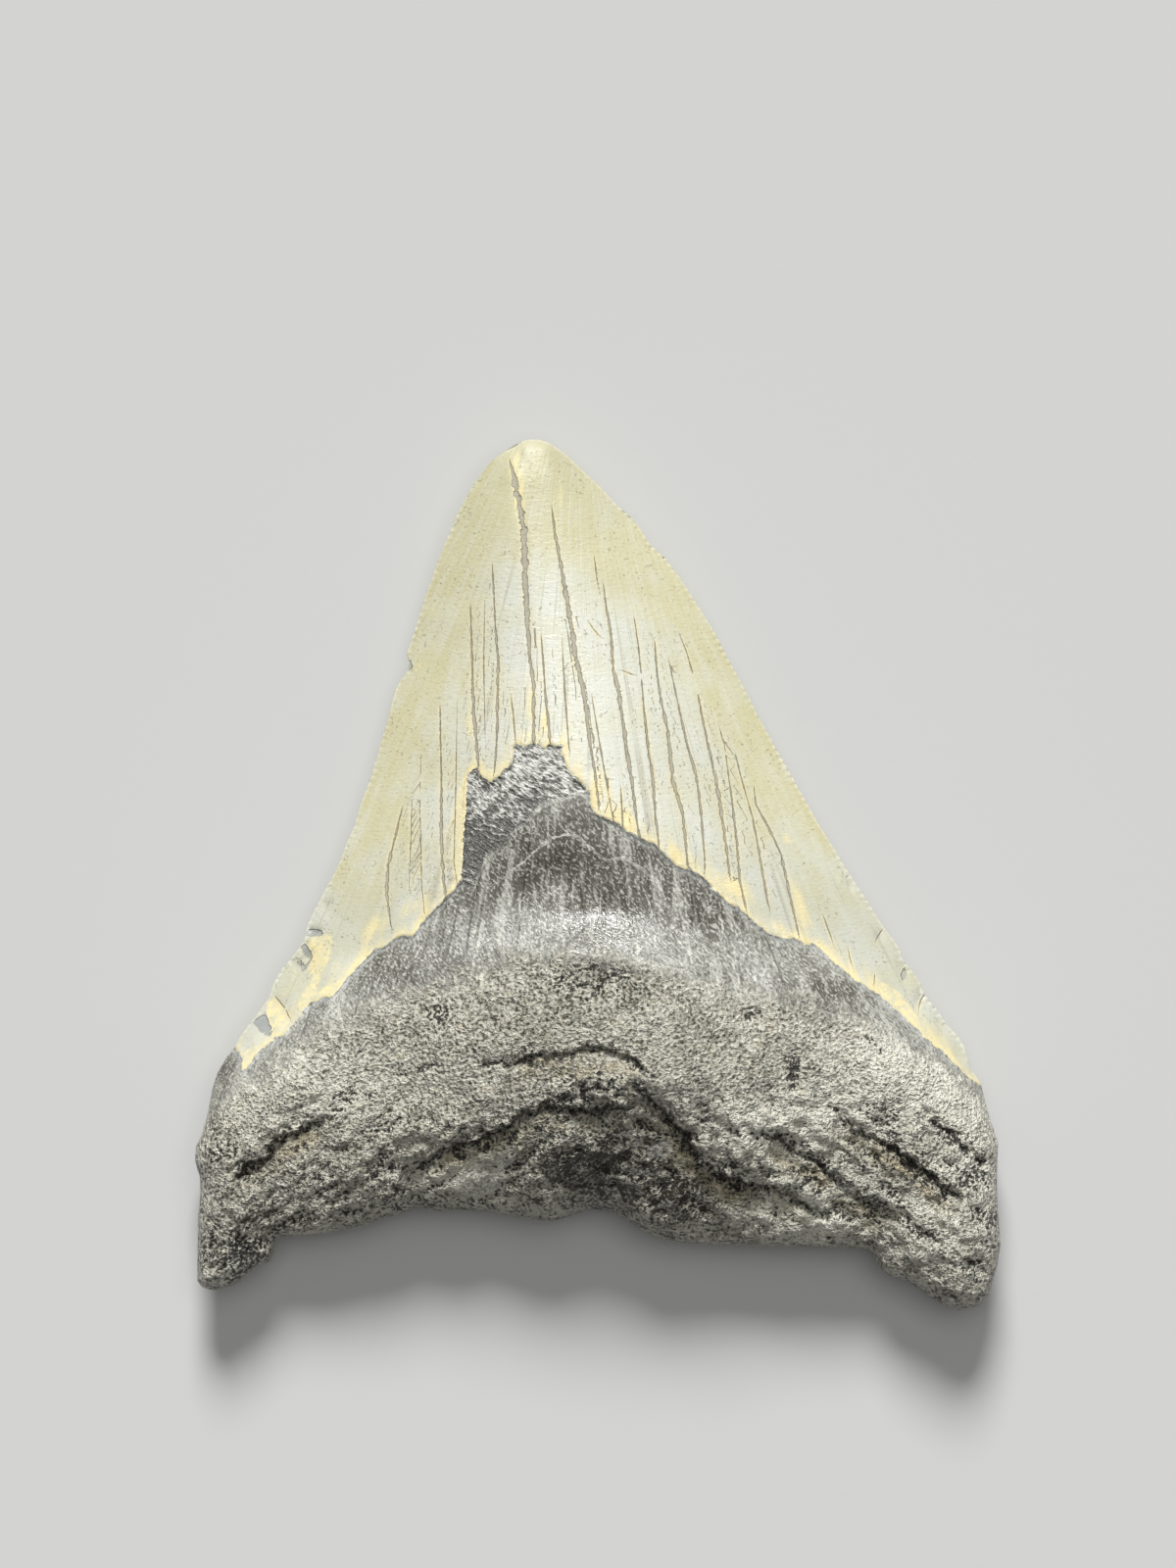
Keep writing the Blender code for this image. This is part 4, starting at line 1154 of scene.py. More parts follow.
class Web:
    """Adds and joins the nodes of one shader tree."""

    def __init__(self, tree):
        self.tree = tree
        self.count = 0

    def add(self, kind, inputs=(), **settings):
        node = self.tree.nodes.new(kind)
        node.location = (220 * (self.count // 6), -190 * (self.count % 6))
        self.count += 1
        for name, value in settings.items():
            setattr(node, name, value)
        for socket, value in dict(inputs).items():
            self.feed(node.inputs[socket], value)
        return node

    def feed(self, socket, value):
        if isinstance(value, bpy.types.NodeSocket):
            self.tree.links.new(value, socket)
        else:
            socket.default_value = value

    def math(self, operation, first, second=0.0, clamp=False):
        inputs = {0: first, 1: second}
        return self.add("ShaderNodeMath", inputs, operation=operation, use_clamp=clamp).outputs[0]

    def mix(self, share, first, second, blend="MIX"):
        inputs = {0: share, 6: first, 7: second}
        return self.add("ShaderNodeMix", inputs, data_type="RGBA", blend_type=blend).outputs[2]

    def blend(self, share, first, second):
        return self.add("ShaderNodeMix", {0: share, 2: first, 3: second}, data_type="FLOAT").outputs[0]

    def step(self, value, low, high, start=0.0, end=1.0):
        """A smooth step from start to end as value goes from low to high."""
        inputs = {"Value": value, "From Min": low, "From Max": high, "To Min": start, "To Max": end}
        return self.add("ShaderNodeMapRange", inputs, interpolation_type="SMOOTHSTEP").outputs[0]

    def mark(self, name):
        return self.add("ShaderNodeAttribute", attribute_name=name).outputs["Fac"]

    def place(self, stretch=(1.0, 1.0, 1.0), turn=0.0):
        """Object coordinates in millimetres, stretched and turned about +Z."""
        coordinates = self.add("ShaderNodeTexCoord").outputs["Object"]
        scale = [MM * share for share in stretch]
        inputs = {"Vector": coordinates, "Rotation": (0.0, 0.0, math.radians(turn)), "Scale": scale}
        return self.add("ShaderNodeMapping", inputs, vector_type="TEXTURE").outputs[0]

    def fan_place(self, across, squeeze):
        """Places along the growth lines: across them in millimetres, and squeezed the other two ways."""
        split = self.add("ShaderNodeSeparateXYZ", {0: self.place((1.0, squeeze, squeeze))}).outputs
        return self.add("ShaderNodeCombineXYZ", {0: across, 1: split[1], 2: split[2]}).outputs[0]

    def line_mask(self, value, low, high):
        """Thin lines where a noise passes through its middle."""
        return self.step(self.math("ABSOLUTE", self.math("SUBTRACT", value, 0.5)), low, high, 1.0, 0.0)

    def clouds(self, place, size, detail=2.0, roughness=0.5, distortion=0.0):
        inputs = {"Vector": place, "Scale": 1.0 / size, "Detail": detail, "Roughness": roughness,
                  "Distortion": distortion}
        return self.add("ShaderNodeTexNoise", inputs).outputs["Fac"]

    def veins(self, place, size, randomness=1.0):
        """The distance to the edges of a net of cells."""
        inputs = {"Vector": place, "Scale": 1.0 / size, "Randomness": randomness}
        return self.add("ShaderNodeTexVoronoi", inputs, feature="DISTANCE_TO_EDGE").outputs["Distance"]


def new_group(name, inputs, outputs):
    """A shader node group with these sockets, and a web on it whose given and put are its two ends."""
    tree = bpy.data.node_groups.new(name, "ShaderNodeTree")
    for socket, kind in inputs.items():
        tree.interface.new_socket(name=socket, in_out="INPUT", socket_type=kind)
    for socket, kind in outputs.items():
        tree.interface.new_socket(name=socket, in_out="OUTPUT", socket_type=kind)
    web = Web(tree)
    given = web.add("NodeGroupInput").outputs
    put = web.add("NodeGroupOutput").inputs
    return web, given, put


COLOUR, NUMBER = "NodeSocketColor", "NodeSocketFloat"
FINISH = {"Colour": COLOUR, "Roughness": NUMBER, "Height": NUMBER}


def grain_group():
    """Grains of rock, fine and coarse: a mask that is high on the grains and low between them."""
    web, given, put = new_group(
        "Rock grain", {"Coarseness": NUMBER, "Contrast": NUMBER}, {"Grain": NUMBER, "Height": NUMBER}
    )
    place = web.place()
    fine = web.clouds(place, 0.44, 2.0, 0.6)
    middling = web.clouds(place, 1.0, 2.0, 0.6)
    wide = web.clouds(place, 2.6, 2.0, 0.55)
    smooth = web.math("ADD", web.math("MULTIPLY", fine, 0.85), web.math("MULTIPLY", middling, 0.15))
    rough = web.math("ADD", web.math("MULTIPLY", fine, 0.6), web.math("MULTIPLY", middling, 0.28))
    rough = web.math("ADD", rough, web.math("MULTIPLY", wide, 0.12))
    both = web.blend(given["Coarseness"], smooth, rough)
    centred = web.math("MULTIPLY", web.math("SUBTRACT", both, 0.5), given["Contrast"])
    web.feed(put["Grain"], web.math("ADD", centred, 0.5))
    web.feed(put["Height"], both)
    return web.tree


def enamel_group():
    """Glossy enamel: cream to grey, with fine streaks, flecks, yellow stains and filled cracks."""
    inputs = {"Cream": COLOUR, "Grey": COLOUR, "Stain": COLOUR, "Crack": COLOUR, "Greyness": NUMBER,
              "Stained": NUMBER, "Crack inside": NUMBER, "Crack gate": NUMBER, "Flaked": NUMBER,
              "Yellowed": NUMBER, "Edge": NUMBER, "Enamel shade": NUMBER, "Fan": NUMBER}
    web, given, put = new_group("Enamel finish", inputs, FINISH)
    plain = web.place()
    streaks = web.fan_place(given["Fan"], 10.0)
    cloud = web.clouds(plain, 7.0, 3.0, 0.55)
    streak = web.clouds(streaks, 0.8, 3.0, 0.6)
    greyness = web.math("ADD", given["Greyness"], web.step(cloud, 0.3, 0.7, -0.35, 0.35), clamp=True)
    colour = web.mix(greyness, given["Cream"], given["Grey"])
    colour = web.mix(web.step(streak, 0.35, 0.75, 0.0, 0.35), colour, (0.74, 0.75, 0.67, 1.0))
    fine_line = web.line_mask(web.clouds(web.fan_place(given["Fan"], 90.0), 2.2, 1.0, 0.45), 0.002, 0.014)
    where = web.step(web.clouds(web.fan_place(given["Fan"], 5.0), 2.6, 1.0), 0.42, 0.62)
    fine_line = web.math("MULTIPLY", fine_line, where)
    fine_line = web.math("MULTIPLY", fine_line, web.math("MULTIPLY", greyness, 0.45))
    colour = web.mix(fine_line, colour, (0.38, 0.35, 0.24, 1.0))
    fleck = web.step(web.clouds(plain, 0.42, 2.0, 0.5), 0.6, 0.7)
    flecked = web.math("MULTIPLY", fleck, web.step(web.clouds(plain, 4.5, 1.0), 0.4, 0.62, 0.08, 0.75))
    colour = web.mix(flecked, colour, (0.33, 0.29, 0.18, 1.0))
    # Painted shade: the enamel shade mark darkens the colour at the tip, over the lower crown and away from
    # the middle
    enamel_shading = web.math("MULTIPLY", given["Enamel shade"], 0.1)
    colour = web.mix(enamel_shading, colour, (0.3, 0.3, 0.26, 1.0), "MULTIPLY")
    wander = web.math("MULTIPLY", web.math("SUBTRACT", web.clouds(plain, 0.8, 3.0, 0.65), 0.5), 0.5)
    flaked = web.step(web.math("ADD", given["Flaked"], wander), -0.04, 0.08)
    mottle = web.step(web.clouds(plain, 1.0, 3.0, 0.65), 0.35, 0.62, 0.25, 0.85)
    yellowed = web.step(web.math("ADD", given["Yellowed"], wander), -0.2, 0.15)
    yellowed = web.math("MULTIPLY", yellowed, mottle)
    patches = web.step(web.clouds(streaks, 1.3, 3.0, 0.6), 0.25, 0.75, -0.4, 0.3)
    stained = web.step(web.math("ADD", given["Stained"], patches), 0.15, 1.1, 0.0, 0.9)
    colour = web.mix(web.math("MAXIMUM", stained, yellowed), colour, given["Stain"])
    scarred = web.math("MULTIPLY", flaked, web.step(cloud, 0.3, 0.7, 0.6, 0.95))
    colour = web.mix(scarred, colour, (0.31, 0.32, 0.31, 1.0))
    colour = web.mix(web.step(given["Edge"], 0.0, 0.4, 0.4, 0.0), colour, (0.72, 0.71, 0.58, 1.0))
    gate = given["Crack gate"]
    cracked = web.math("MULTIPLY", web.step(given["Crack inside"], -0.05, 0.04), gate)
    border = web.math("MULTIPLY", web.step(given["Crack inside"], -0.42, -0.03), gate)
    border = web.math("MULTIPLY", border, web.step(web.clouds(streaks, 0.9, 2.0, 0.6), 0.4, 0.6, 0.0, 0.55))
    colour = web.mix(border, colour, (0.76, 0.66, 0.37, 1.0))
    filling = web.math("ADD", given["Crack inside"], web.math("MULTIPLY", wander, 0.4))
    filling = web.step(filling, 0.02, 0.16)
    filling = web.mix(filling, (0.21, 0.185, 0.125, 1.0), given["Crack"])
    colour = web.mix(cracked, colour, filling)
    web.feed(put["Colour"], colour)
    satin = web.blend(given["Greyness"], 0.48, web.step(cloud, 0.3, 0.7, 0.26, 0.34))
    rough = web.blend(stained, satin, 0.5)
    web.feed(put["Roughness"], web.blend(cracked, rough, 0.75))
    ripple = web.clouds(web.place((2.4, 0.8, 1.0)), 0.5, 3.0, 0.6, 0.4)
    dents = web.math("MULTIPLY", ripple, 0.075)
    fine = web.math("MULTIPLY", streak, 0.06)
    height = web.math("SUBTRACT", web.math("ADD", dents, fine), web.math("MULTIPLY", cracked, 0.07))
    height = web.math("SUBTRACT", height, web.math("MULTIPLY", fine_line, 0.05))
    height = web.math("SUBTRACT", height, web.math("MULTIPLY", flaked, 0.2))
    web.feed(put["Height"], web.math("SUBTRACT", height, web.math("MULTIPLY", fleck, 0.02)))
    return web.tree


def band_group():
    """The dark semi-gloss band: brown-black in the middle, with fine striations and pale veins."""
    inputs = {"Dark": COLOUR, "Grey": COLOUR, "Vein": COLOUR, "Paleness": NUMBER, "Sheen": NUMBER,
              "Rim": NUMBER, "Veined": NUMBER, "Fan": NUMBER}
    web, given, put = new_group("Band finish", inputs, FINISH)
    plain = web.place()
    upright = web.fan_place(given["Fan"], 7.0)
    cloud = web.clouds(plain, 3.4, 3.0, 0.6)
    pale = web.math("ADD", given["Paleness"], web.step(cloud, 0.3, 0.7, -0.2, 0.2), clamp=True)
    colour = web.mix(pale, given["Dark"], given["Grey"])
    striation = web.clouds(upright, 0.42, 3.0, 0.6)
    colour = web.mix(web.step(striation, 0.52, 0.7, 0.0, 0.35), colour, given["Vein"])
    colour = web.mix(web.step(striation, 0.45, 0.3, 0.0, 0.4), colour, given["Dark"])
    fleck = web.clouds(web.place((1.5, 0.8, 1.0), -50.0), 0.36, 2.0, 0.6)
    streak = web.clouds(web.fan_place(given["Fan"], 9.0), 1.3, 2.0, 0.6)
    colour = web.mix(web.step(streak, 0.54, 0.66, 0.0, 0.5), colour, given["Vein"])
    colour = web.mix(web.step(fleck, 0.53, 0.64, 0.0, 0.65), colour, given["Vein"])
    colour = web.mix(web.step(fleck, 0.48, 0.36, 0.0, 0.75), colour, given["Dark"])
    seam = web.line_mask(web.clouds(web.fan_place(given["Fan"], 16.0), 3.0, 2.0, 0.45), 0.002, 0.02)
    seam = web.math("MULTIPLY", seam, web.step(web.clouds(upright, 1.9, 1.0), 0.45, 0.6))
    colour = web.mix(web.math("MULTIPLY", seam, 0.5), colour, given["Dark"])
    drift = web.add("ShaderNodeTexNoise", {"Vector": plain, "Scale": 0.45, "Detail": 3.0}).outputs["Color"]
    shift = web.add("ShaderNodeVectorMath", {0: drift, "Scale": 2.6}, operation="SCALE").outputs[0]
    places = {0: web.place((1.0, 1.8, 1.0)), 1: shift}
    warped = web.add("ShaderNodeVectorMath", places, operation="ADD").outputs[0]
    net = web.step(web.veins(warped, 3.1), 0.0, 0.04, 1.0, 0.0)
    net = web.math("MULTIPLY", net, web.step(web.clouds(plain, 4.0, 2.0), 0.5, 0.62, 0.0, 0.6))
    faded = web.math("MULTIPLY", web.step(fleck, 0.3, 0.55, 0.35, 1.0), web.step(cloud, 0.4, 0.6, 0.3, 1.0))
    vein = web.math("MAXIMUM", net, web.math("MULTIPLY", given["Veined"], faded))
    colour = web.mix(web.math("MULTIPLY", vein, 0.85), colour, given["Vein"])
    rim = web.math("MULTIPLY", given["Rim"], web.step(fleck, 0.3, 0.6, 0.4, 1.0))
    colour = web.mix(rim, colour, (0.43, 0.44, 0.41, 1.0))
    web.feed(put["Colour"], colour)
    streaked = web.step(striation, 0.3, 0.7, 0.0, 0.12)
    web.feed(put["Roughness"], web.math("ADD", streaked, web.blend(given["Sheen"], 0.38, 0.17)))
    ridges = web.math("ADD", web.math("MULTIPLY", striation, 0.07), web.math("MULTIPLY", fleck, 0.1))
    ridges = web.math("SUBTRACT", ridges, web.math("MULTIPLY", seam, 0.1))
    web.feed(put["Height"], web.math("ADD", ridges, web.math("MULTIPLY", vein, 0.07)))
    return web.tree


def bare_group():
    """Rough dentine where enamel flaked off: short slanted pale flecks."""
    web, given, put = new_group("Bare dentine finish", {"Paleness": NUMBER}, FINISH)
    fleck = web.clouds(web.place((1.7, 0.75, 1.0), -32.0), 0.5, 2.0, 0.6)
    cloud = web.clouds(web.place(), 2.2, 2.0, 0.6)
    lit = web.math("ADD", fleck, web.step(cloud, 0.3, 0.7, -0.09, 0.07))
    lit = web.math("ADD", lit, web.math("MULTIPLY", web.math("SUBTRACT", given["Paleness"], 0.8), 0.25))
    lit = web.step(lit, 0.33, 0.64)
    web.feed(put["Colour"], web.mix(lit, (0.09, 0.088, 0.075, 1.0), (0.68, 0.68, 0.62, 1.0)))
    web.feed(put["Roughness"], web.step(fleck, 0.3, 0.7, 0.45, 0.32))
    height = web.math("ADD", web.math("MULTIPLY", fleck, 0.6), web.math("MULTIPLY", cloud, 0.6))
    web.feed(put["Height"], web.math("SUBTRACT", height, 0.52))
    return web.tree


def root_group(grain_tree):
    """Granular root: pale grains over dark hollows, with ochre sediment, patches of smooth skin, and
    painted shade and light.
    """
    inputs = {"Pale": COLOUR, "Dark": COLOUR, "Ochre": COLOUR, "Coarseness": NUMBER, "Hollow shade": NUMBER,
              "Shade": NUMBER, "Ochre share": NUMBER, "Skin": NUMBER}
    web, given, put = new_group("Root finish", inputs, FINISH)
    plain = web.place()
    grain = web.add("ShaderNodeGroup", node_tree=grain_tree)
    web.feed(grain.inputs["Coarseness"], given["Coarseness"])
    web.feed(grain.inputs["Contrast"], web.blend(given["Coarseness"], 2.9, 5.2))
    cloud = web.clouds(plain, 4.0, 3.0, 0.6)
    # Painted shade and light: where the shade mark is above 0 the grains are darkened, and the few that
    # stay lit are made brighter as painted glints; below 0 they are lightened
    painted_light = web.math("MULTIPLY", web.math("MINIMUM", given["Shade"], 0.0), -1.0)
    painted_shade = web.math("MAXIMUM", given["Shade"], 0.0)
    lit = web.math("ADD", grain.outputs["Grain"], web.step(cloud, 0.3, 0.7, -0.03, 0.25))
    lit = web.math("ADD", lit, web.math("MULTIPLY", painted_light, 0.22))
    lit = web.math("SUBTRACT", lit, web.math("MULTIPLY", painted_shade, 0.6))
    painted_glints = web.math("ADD", web.math("MULTIPLY", painted_shade, 0.9), 1.0)
    lit = web.math("MULTIPLY", lit, painted_glints, clamp=True)
    warm = web.step(web.clouds(plain, 1.1, 3.0, 0.65), 0.47, 0.68, 0.0, 0.4)
    tinted = web.mix(warm, given["Pale"], (0.60, 0.52, 0.34, 1.0))
    # Painted light: where the shade mark is below 0 the grains turn a brighter cream
    tinted = web.mix(web.math("MULTIPLY", painted_light, 0.4, clamp=True), tinted, (0.95, 0.93, 0.79, 1.0))
    ochre = web.math("MULTIPLY", given["Ochre share"], web.step(cloud, 0.38, 0.6, 0.1, 0.6))
    tinted = web.mix(ochre, tinted, given["Ochre"])
    colour = web.mix(lit, given["Dark"], tinted)
    skin = web.step(web.math("ADD", given["Skin"], web.math("MULTIPLY", cloud, 0.5)), 0.7, 1.2)
    colour = web.mix(web.math("MULTIPLY", skin, 0.4), colour, (0.47, 0.48, 0.44, 1.0))
    # Painted shade: where the shade mark is high the colour is multiplied towards dark brown
    shade = web.math("MULTIPLY", web.math("SUBTRACT", given["Shade"], 0.4), 0.75, clamp=True)
    colour = web.mix(shade, colour, (0.1, 0.092, 0.07, 1.0), "MULTIPLY")
    # Painted shade in clefts, pits and the gaps of rubble and layers: near black where the hollow shade
    # mark is high, broken up by the grains
    lower = web.math("MULTIPLY", web.math("SUBTRACT", 0.55, grain.outputs["Grain"]), 1.3)
    broken = web.math("MULTIPLY", web.step(given["Hollow shade"], 0.05, 0.4), lower)
    broken = web.math("ADD", web.math("ADD", given["Hollow shade"], broken), web.step(cloud, 0.3, 0.7, -0.2, 0.2))
    colour = web.mix(web.step(broken, 0.4, 0.85, 0.0, 0.93), colour, (0.022, 0.02, 0.014, 1.0))
    web.feed(put["Colour"], colour)
    web.feed(put["Roughness"], web.step(grain.outputs["Grain"], 0.1, 0.9, 0.5, 0.24))
    bumps = web.blend(given["Coarseness"], 0.9, 2.7)
    bumps = web.math("MULTIPLY", bumps, web.math("SUBTRACT", 1.0, web.math("MULTIPLY", skin, 0.5)))
    web.feed(put["Height"], web.math("MULTIPLY", grain.outputs["Height"], bumps))
    return web.tree


def line_inside(web, name, ragged_by):
    """How far inside the nearest marked line a point lies in millimetres, and a gate: 0 far from lines."""
    plain = web.place()
    half = web.mark(name + "_half")
    sway = web.math("ADD", web.math("MULTIPLY", half, 0.8), ragged_by)
    wander = web.math("MULTIPLY", web.math("SUBTRACT", web.clouds(plain, 0.7, 3.0, 0.6), 0.5), sway)
    away = web.math("ABSOLUTE", web.math("ADD", web.mark(name + "_mm"), wander))
    ragged_half = web.math("MULTIPLY", half, web.step(web.clouds(plain, 0.9, 2.0), 0.3, 0.7, 0.5, 1.45))
    return web.math("SUBTRACT", ragged_half, away), web.step(half, 0.005, 0.05)


def placed_group(web, settings, tree, colours, marks):
    """A finish's node group with its colours and the mesh's marks fed in."""
    group = web.add("ShaderNodeGroup", node_tree=tree)
    for socket, name in colours.items():
        group.inputs[socket].default_value = (*getattr(settings, name), 1.0)
    for socket, name in marks.items():
        web.feed(group.inputs[socket], web.mark(name))
    return group


def finish_of(group):
    """A placed finish's colour, roughness and height."""
    return [group.outputs[name] for name in FINISH]


def lay_enamel(web, settings, trees):
    """Enamel with its cracks."""
    enamel = placed_group(
        web, settings, trees["enamel"],
        {"Cream": "cream", "Grey": "grey", "Stain": "stain", "Crack": "crack"},
        {"Greyness": "grey", "Stained": "stain", "Flaked": "flaked_mm", "Yellowed": "yellowed_mm",
         "Edge": "edge_mm", "Enamel shade": "enamel_shade", "Fan": "fan_mm"},
    )
    inside, gate = line_inside(web, "crack", 0.06)
    web.feed(enamel.inputs["Crack inside"], inside)
    web.feed(enamel.inputs["Crack gate"], gate)
    return finish_of(enamel)


def lay_root(web, settings, trees):
    """The granular root with its sediment."""
    root = placed_group(
        web, settings, trees["root"],
        {"Pale": "root_light", "Dark": "root_dark", "Ochre": "ochre"},
        {"Coarseness": "coarse", "Hollow shade": "hollow_shade", "Shade": "shade", "Ochre share": "ochre",
         "Skin": "skin"},
    )
    return finish_of(root)


def lay_border(web, settings, trees):
    """Root, band, bare band and enamel, each laid over the one before it."""
    plain = web.place()
    jagged = web.math("MULTIPLY", web.math("SUBTRACT", web.clouds(plain, 0.5, 3.0, 0.6), 0.5), 0.7)
    enamel_mm = web.math("ADD", web.mark("enamel_mm"), jagged)
    on_enamel = web.step(enamel_mm, -0.05, 0.05)
    soft = web.math("MULTIPLY", web.math("SUBTRACT", web.clouds(plain, 2.2, 4.0, 0.65), 0.5), 10.0)
    on_band = web.step(web.math("ADD", web.mark("band_mm"), soft), -1.8, 1.6)
    on_bare = web.step(web.math("ADD", web.mark("bare_mm"), web.math("MULTIPLY", soft, 0.3)), -0.3, 0.6)

    band = placed_group(
        web, settings, trees["band"],
        {"Dark": "band", "Grey": "band_grey", "Vein": "vein"},
        {"Paleness": "pale", "Sheen": "sheen", "Fan": "fan_mm"},
    )
    inside, gate = line_inside(web, "vein", 0.3)
    web.feed(band.inputs["Veined"], web.math("MULTIPLY", web.step(inside, -0.08, 0.05), gate))
    web.feed(band.inputs["Rim"], web.step(enamel_mm, -1.0, -0.25, 0.0, 0.8))
    bare = placed_group(web, settings, trees["bare"], {}, {"Paleness": "pale"})

    root = lay_root(web, settings, trees)
    enamel = lay_enamel(web, settings, trees)
    layers = zip(finish_of(bare), finish_of(band), root, enamel)
    finish = []
    blends = (web.mix, web.blend, web.blend)
    for blend, (bare_part, band_part, root_part, enamel_part) in zip(blends, layers):
        dark = blend(on_bare, band_part, bare_part)
        low = blend(on_band, root_part, dark)
        finish.append(blend(on_enamel, low, enamel_part))
    return finish


APATITE = 1.63
ENAMEL_FACES, BORDER_FACES, ROOT_FACES = range(3)
MATERIALS = [
    ("Fossil enamel", lay_enamel),
    ("Fossil enamel, band and root", lay_border),
    ("Fossil root", lay_root),
]


def tooth_materials(settings):
    """Enamel, the border region that lays enamel, band and root beside each other, and the root."""
    grain_tree = grain_group()
    trees = {
        "enamel": enamel_group(),
        "band": band_group(),
        "root": root_group(grain_tree),
        "bare": bare_group(),
    }
    materials = []
    for name, lay in MATERIALS:
        material = bpy.data.materials.new(name)
        material.use_nodes = True
        web = Web(material.node_tree)
        colour, roughness, height = lay(web, settings, trees)
        shader = material.node_tree.nodes["Principled BSDF"]
        web.feed(shader.inputs["Base Color"], colour)
        web.feed(shader.inputs["Roughness"], roughness)
        shader.inputs["IOR"].default_value = APATITE
        bump = web.add("ShaderNodeBump", {"Strength": 1.0, "Distance": MM, "Height": height})
        web.feed(shader.inputs["Normal"], bump.outputs[0])
        materials.append(material)
    return materials


# Beyond these distances from the enamel's and the band's edges a face holds enamel or root only
PLAIN_ENAMEL = 0.5
PLAIN_ROOT = -4.3


def material_of_faces(mesh):
    """Which material each face takes: plain enamel and plain root where no border is near."""
    marks = {}
    for name in ("enamel_mm", "band_mm"):
        values = np.empty(len(mesh.vertices), np.float32)
        mesh.attributes[name].data.foreach_get("value", values)
        marks[name] = values
    corners = np.empty(len(mesh.loops), np.int32)
    mesh.loops.foreach_get("vertex_index", corners)
    starts = np.empty(len(mesh.polygons), np.int32)
    mesh.polygons.foreach_get("loop_start", starts)
    lowest_enamel = np.minimum.reduceat(marks["enamel_mm"][corners], starts)
    highest_band = np.maximum.reduceat(marks["band_mm"][corners], starts)
    kinds = np.full(len(mesh.polygons), BORDER_FACES, np.int32)
    kinds[lowest_enamel > PLAIN_ENAMEL] = ENAMEL_FACES
    kinds[highest_band < PLAIN_ROOT] = ROOT_FACES
    return kinds


def new_object(name, mesh):
    """A mesh as an object of the scene."""
    piece = bpy.data.objects.new(name, mesh)
    bpy.context.scene.collection.objects.link(piece)
    return piece


class FOSSIL_OT_tooth(bpy.types.Operator):
    """Builds the tooth round its CAD solid"""

    bl_idname = "fossil.tooth"
    bl_label = "Build tooth"

    def execute(self, context):
        settings = context.scene.fossil_tooth
        shape = flat_sheets()
        mesh = bpy.data.meshes.new("megalodon_tooth")
        shape.to_mesh(mesh)
        shape.free()
        shape_tooth(mesh, settings)
        mesh.shade_smooth()
        for material in tooth_materials(settings):
            mesh.materials.append(material)
        mesh.polygons.foreach_set("material_index", material_of_faces(mesh))
        tooth = new_object("megalodon_tooth", mesh)
        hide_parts("tooth")
        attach(tooth, "root")
        return {"FINISHED"}


def aimed_light(name, kind, power, place, target):
    """A lamp of one kind at a place, turned to its target; its size is set on its data afterwards."""
    light = bpy.data.lights.new(name, kind)
    light.energy = power
    lamp = bpy.data.objects.new(name, light)
    lamp.location = place
    lamp.rotation_euler = (Vector(target) - Vector(place)).to_track_quat("-Z", "Y").to_euler()
    bpy.context.scene.collection.objects.link(lamp)
    return lamp


FLOOR_ROUGHNESS = 0.9
AMBIENT = 0.12
LIT_POINT = (0.0, 0.0, 0.01)
KEY_PLACE = (-0.15, 2.85, 2.22)
FILL_PLACE = (0.2, 0.3, 2.6)
FILL_SIZE = 1.6

# The camera looks straight down on this point; its distance counts from the height of the tooth's edge
VIEW_CENTRE = (-0.00125, 0.01155)
EDGE_HEIGHT = 0.006
SENSOR_WIDTH = 36.0


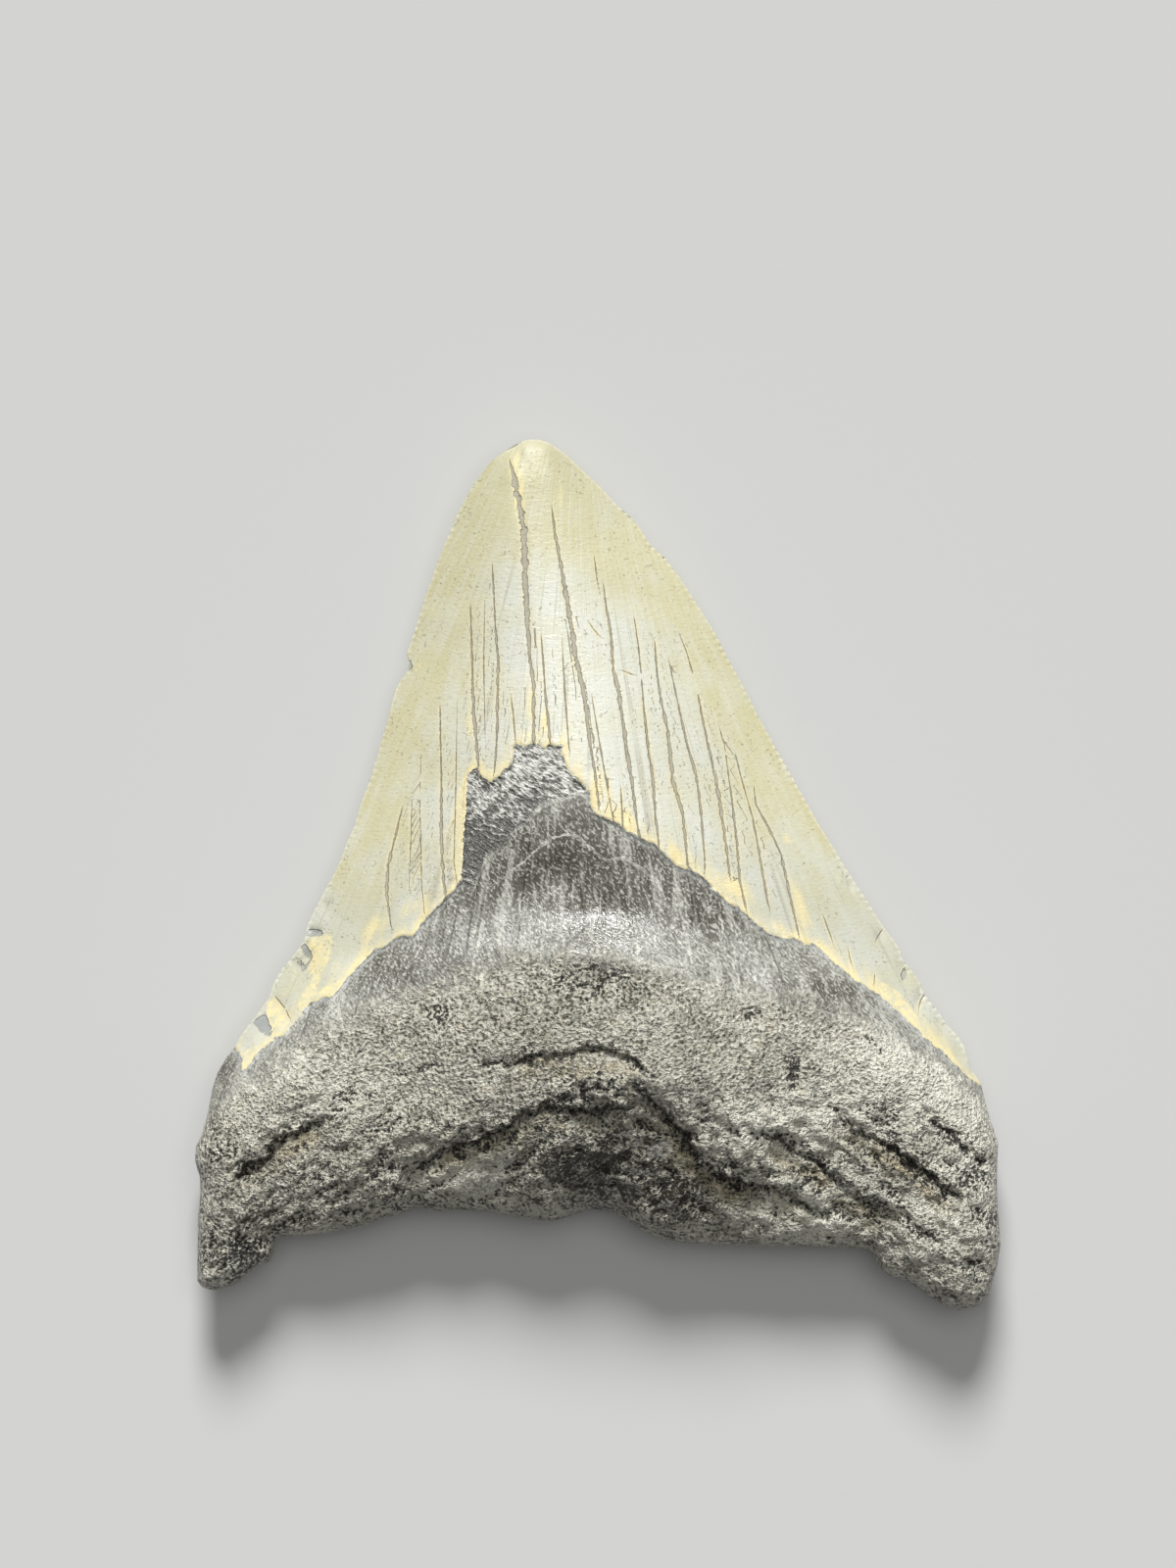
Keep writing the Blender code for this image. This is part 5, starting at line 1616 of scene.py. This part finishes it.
class FOSSIL_OT_stage(bpy.types.Operator):
    """Builds the pale floor, the lights and the camera"""

    bl_idname = "fossil.stage"
    bl_label = "Build stage"

    def execute(self, context):
        settings = context.scene.fossil_stage
        shape = bmesh.new()
        bmesh.ops.create_grid(shape, x_segments=1, y_segments=1, size=settings.floor_reach)
        mesh = bpy.data.meshes.new("floor")
        shape.to_mesh(mesh)
        shape.free()
        floor = new_object("floor", mesh)
        floor.location.z = CAD_BOX[0].z
        finish = bpy.data.materials.new("Pale floor")
        finish.use_nodes = True
        surface = finish.node_tree.nodes["Principled BSDF"]
        surface.inputs["Base Color"].default_value = (*settings.floor_colour, 1.0)
        surface.inputs["Roughness"].default_value = FLOOR_ROUGHNESS
        mesh.materials.append(finish)

        key = aimed_light("key", "SUN", settings.key_strength, KEY_PLACE, LIT_POINT)
        key.data.angle = settings.key_angle
        fill = aimed_light("fill", "AREA", settings.fill_power, FILL_PLACE, LIT_POINT)
        fill.data.size = FILL_SIZE
        world = bpy.data.worlds.new("soft studio")
        world.use_nodes = True
        background = world.node_tree.nodes["Background"]
        background.inputs["Color"].default_value = (1.0, 1.0, 1.0, 1.0)
        background.inputs["Strength"].default_value = AMBIENT
        context.scene.world = world
        context.scene.view_settings.view_transform = "Standard"

        camera = bpy.data.cameras.new("camera")
        camera.lens = settings.lens
        camera.sensor_width = SENSOR_WIDTH
        camera.clip_start = 0.01
        distance = settings.frame_height / 2 / (camera.sensor_width / 2 / camera.lens)
        viewer = bpy.data.objects.new("camera", camera)
        viewer.location = (*VIEW_CENTRE, distance + EDGE_HEIGHT)
        context.scene.collection.objects.link(viewer)
        context.scene.camera = viewer
        return {"FINISHED"}


class FOSSIL_PT_panel(bpy.types.Panel):
    """Lists what can be built and changed"""

    bl_idname = "FOSSIL_PT_panel"
    bl_label = "Fossil tooth"
    bl_space_type = "VIEW_3D"
    bl_region_type = "UI"
    bl_category = "Fossil"

    def draw(self, context):
        for operator, settings in (("fossil.tooth", "fossil_tooth"), ("fossil.stage", "fossil_stage")):
            box = self.layout.box()
            box.operator(operator)
            group = getattr(context.scene, settings)
            for name in group.bl_rna.properties.keys():
                if name not in {"rna_type", "name"}:
                    box.prop(group, name)


CLASSES = (ToothSettings, StageSettings, FOSSIL_OT_tooth, FOSSIL_OT_stage, FOSSIL_PT_panel)


def register():
    for each in CLASSES:
        bpy.utils.register_class(each)
    bpy.types.Scene.fossil_tooth = PointerProperty(type=ToothSettings)
    bpy.types.Scene.fossil_stage = PointerProperty(type=StageSettings)


def unregister():
    del bpy.types.Scene.fossil_stage
    del bpy.types.Scene.fossil_tooth
    for each in reversed(CLASSES):
        bpy.utils.unregister_class(each)


def main():
    register()
    bpy.ops.fossil.tooth()
    bpy.ops.fossil.stage()


if __name__ == "__main__":
    main()
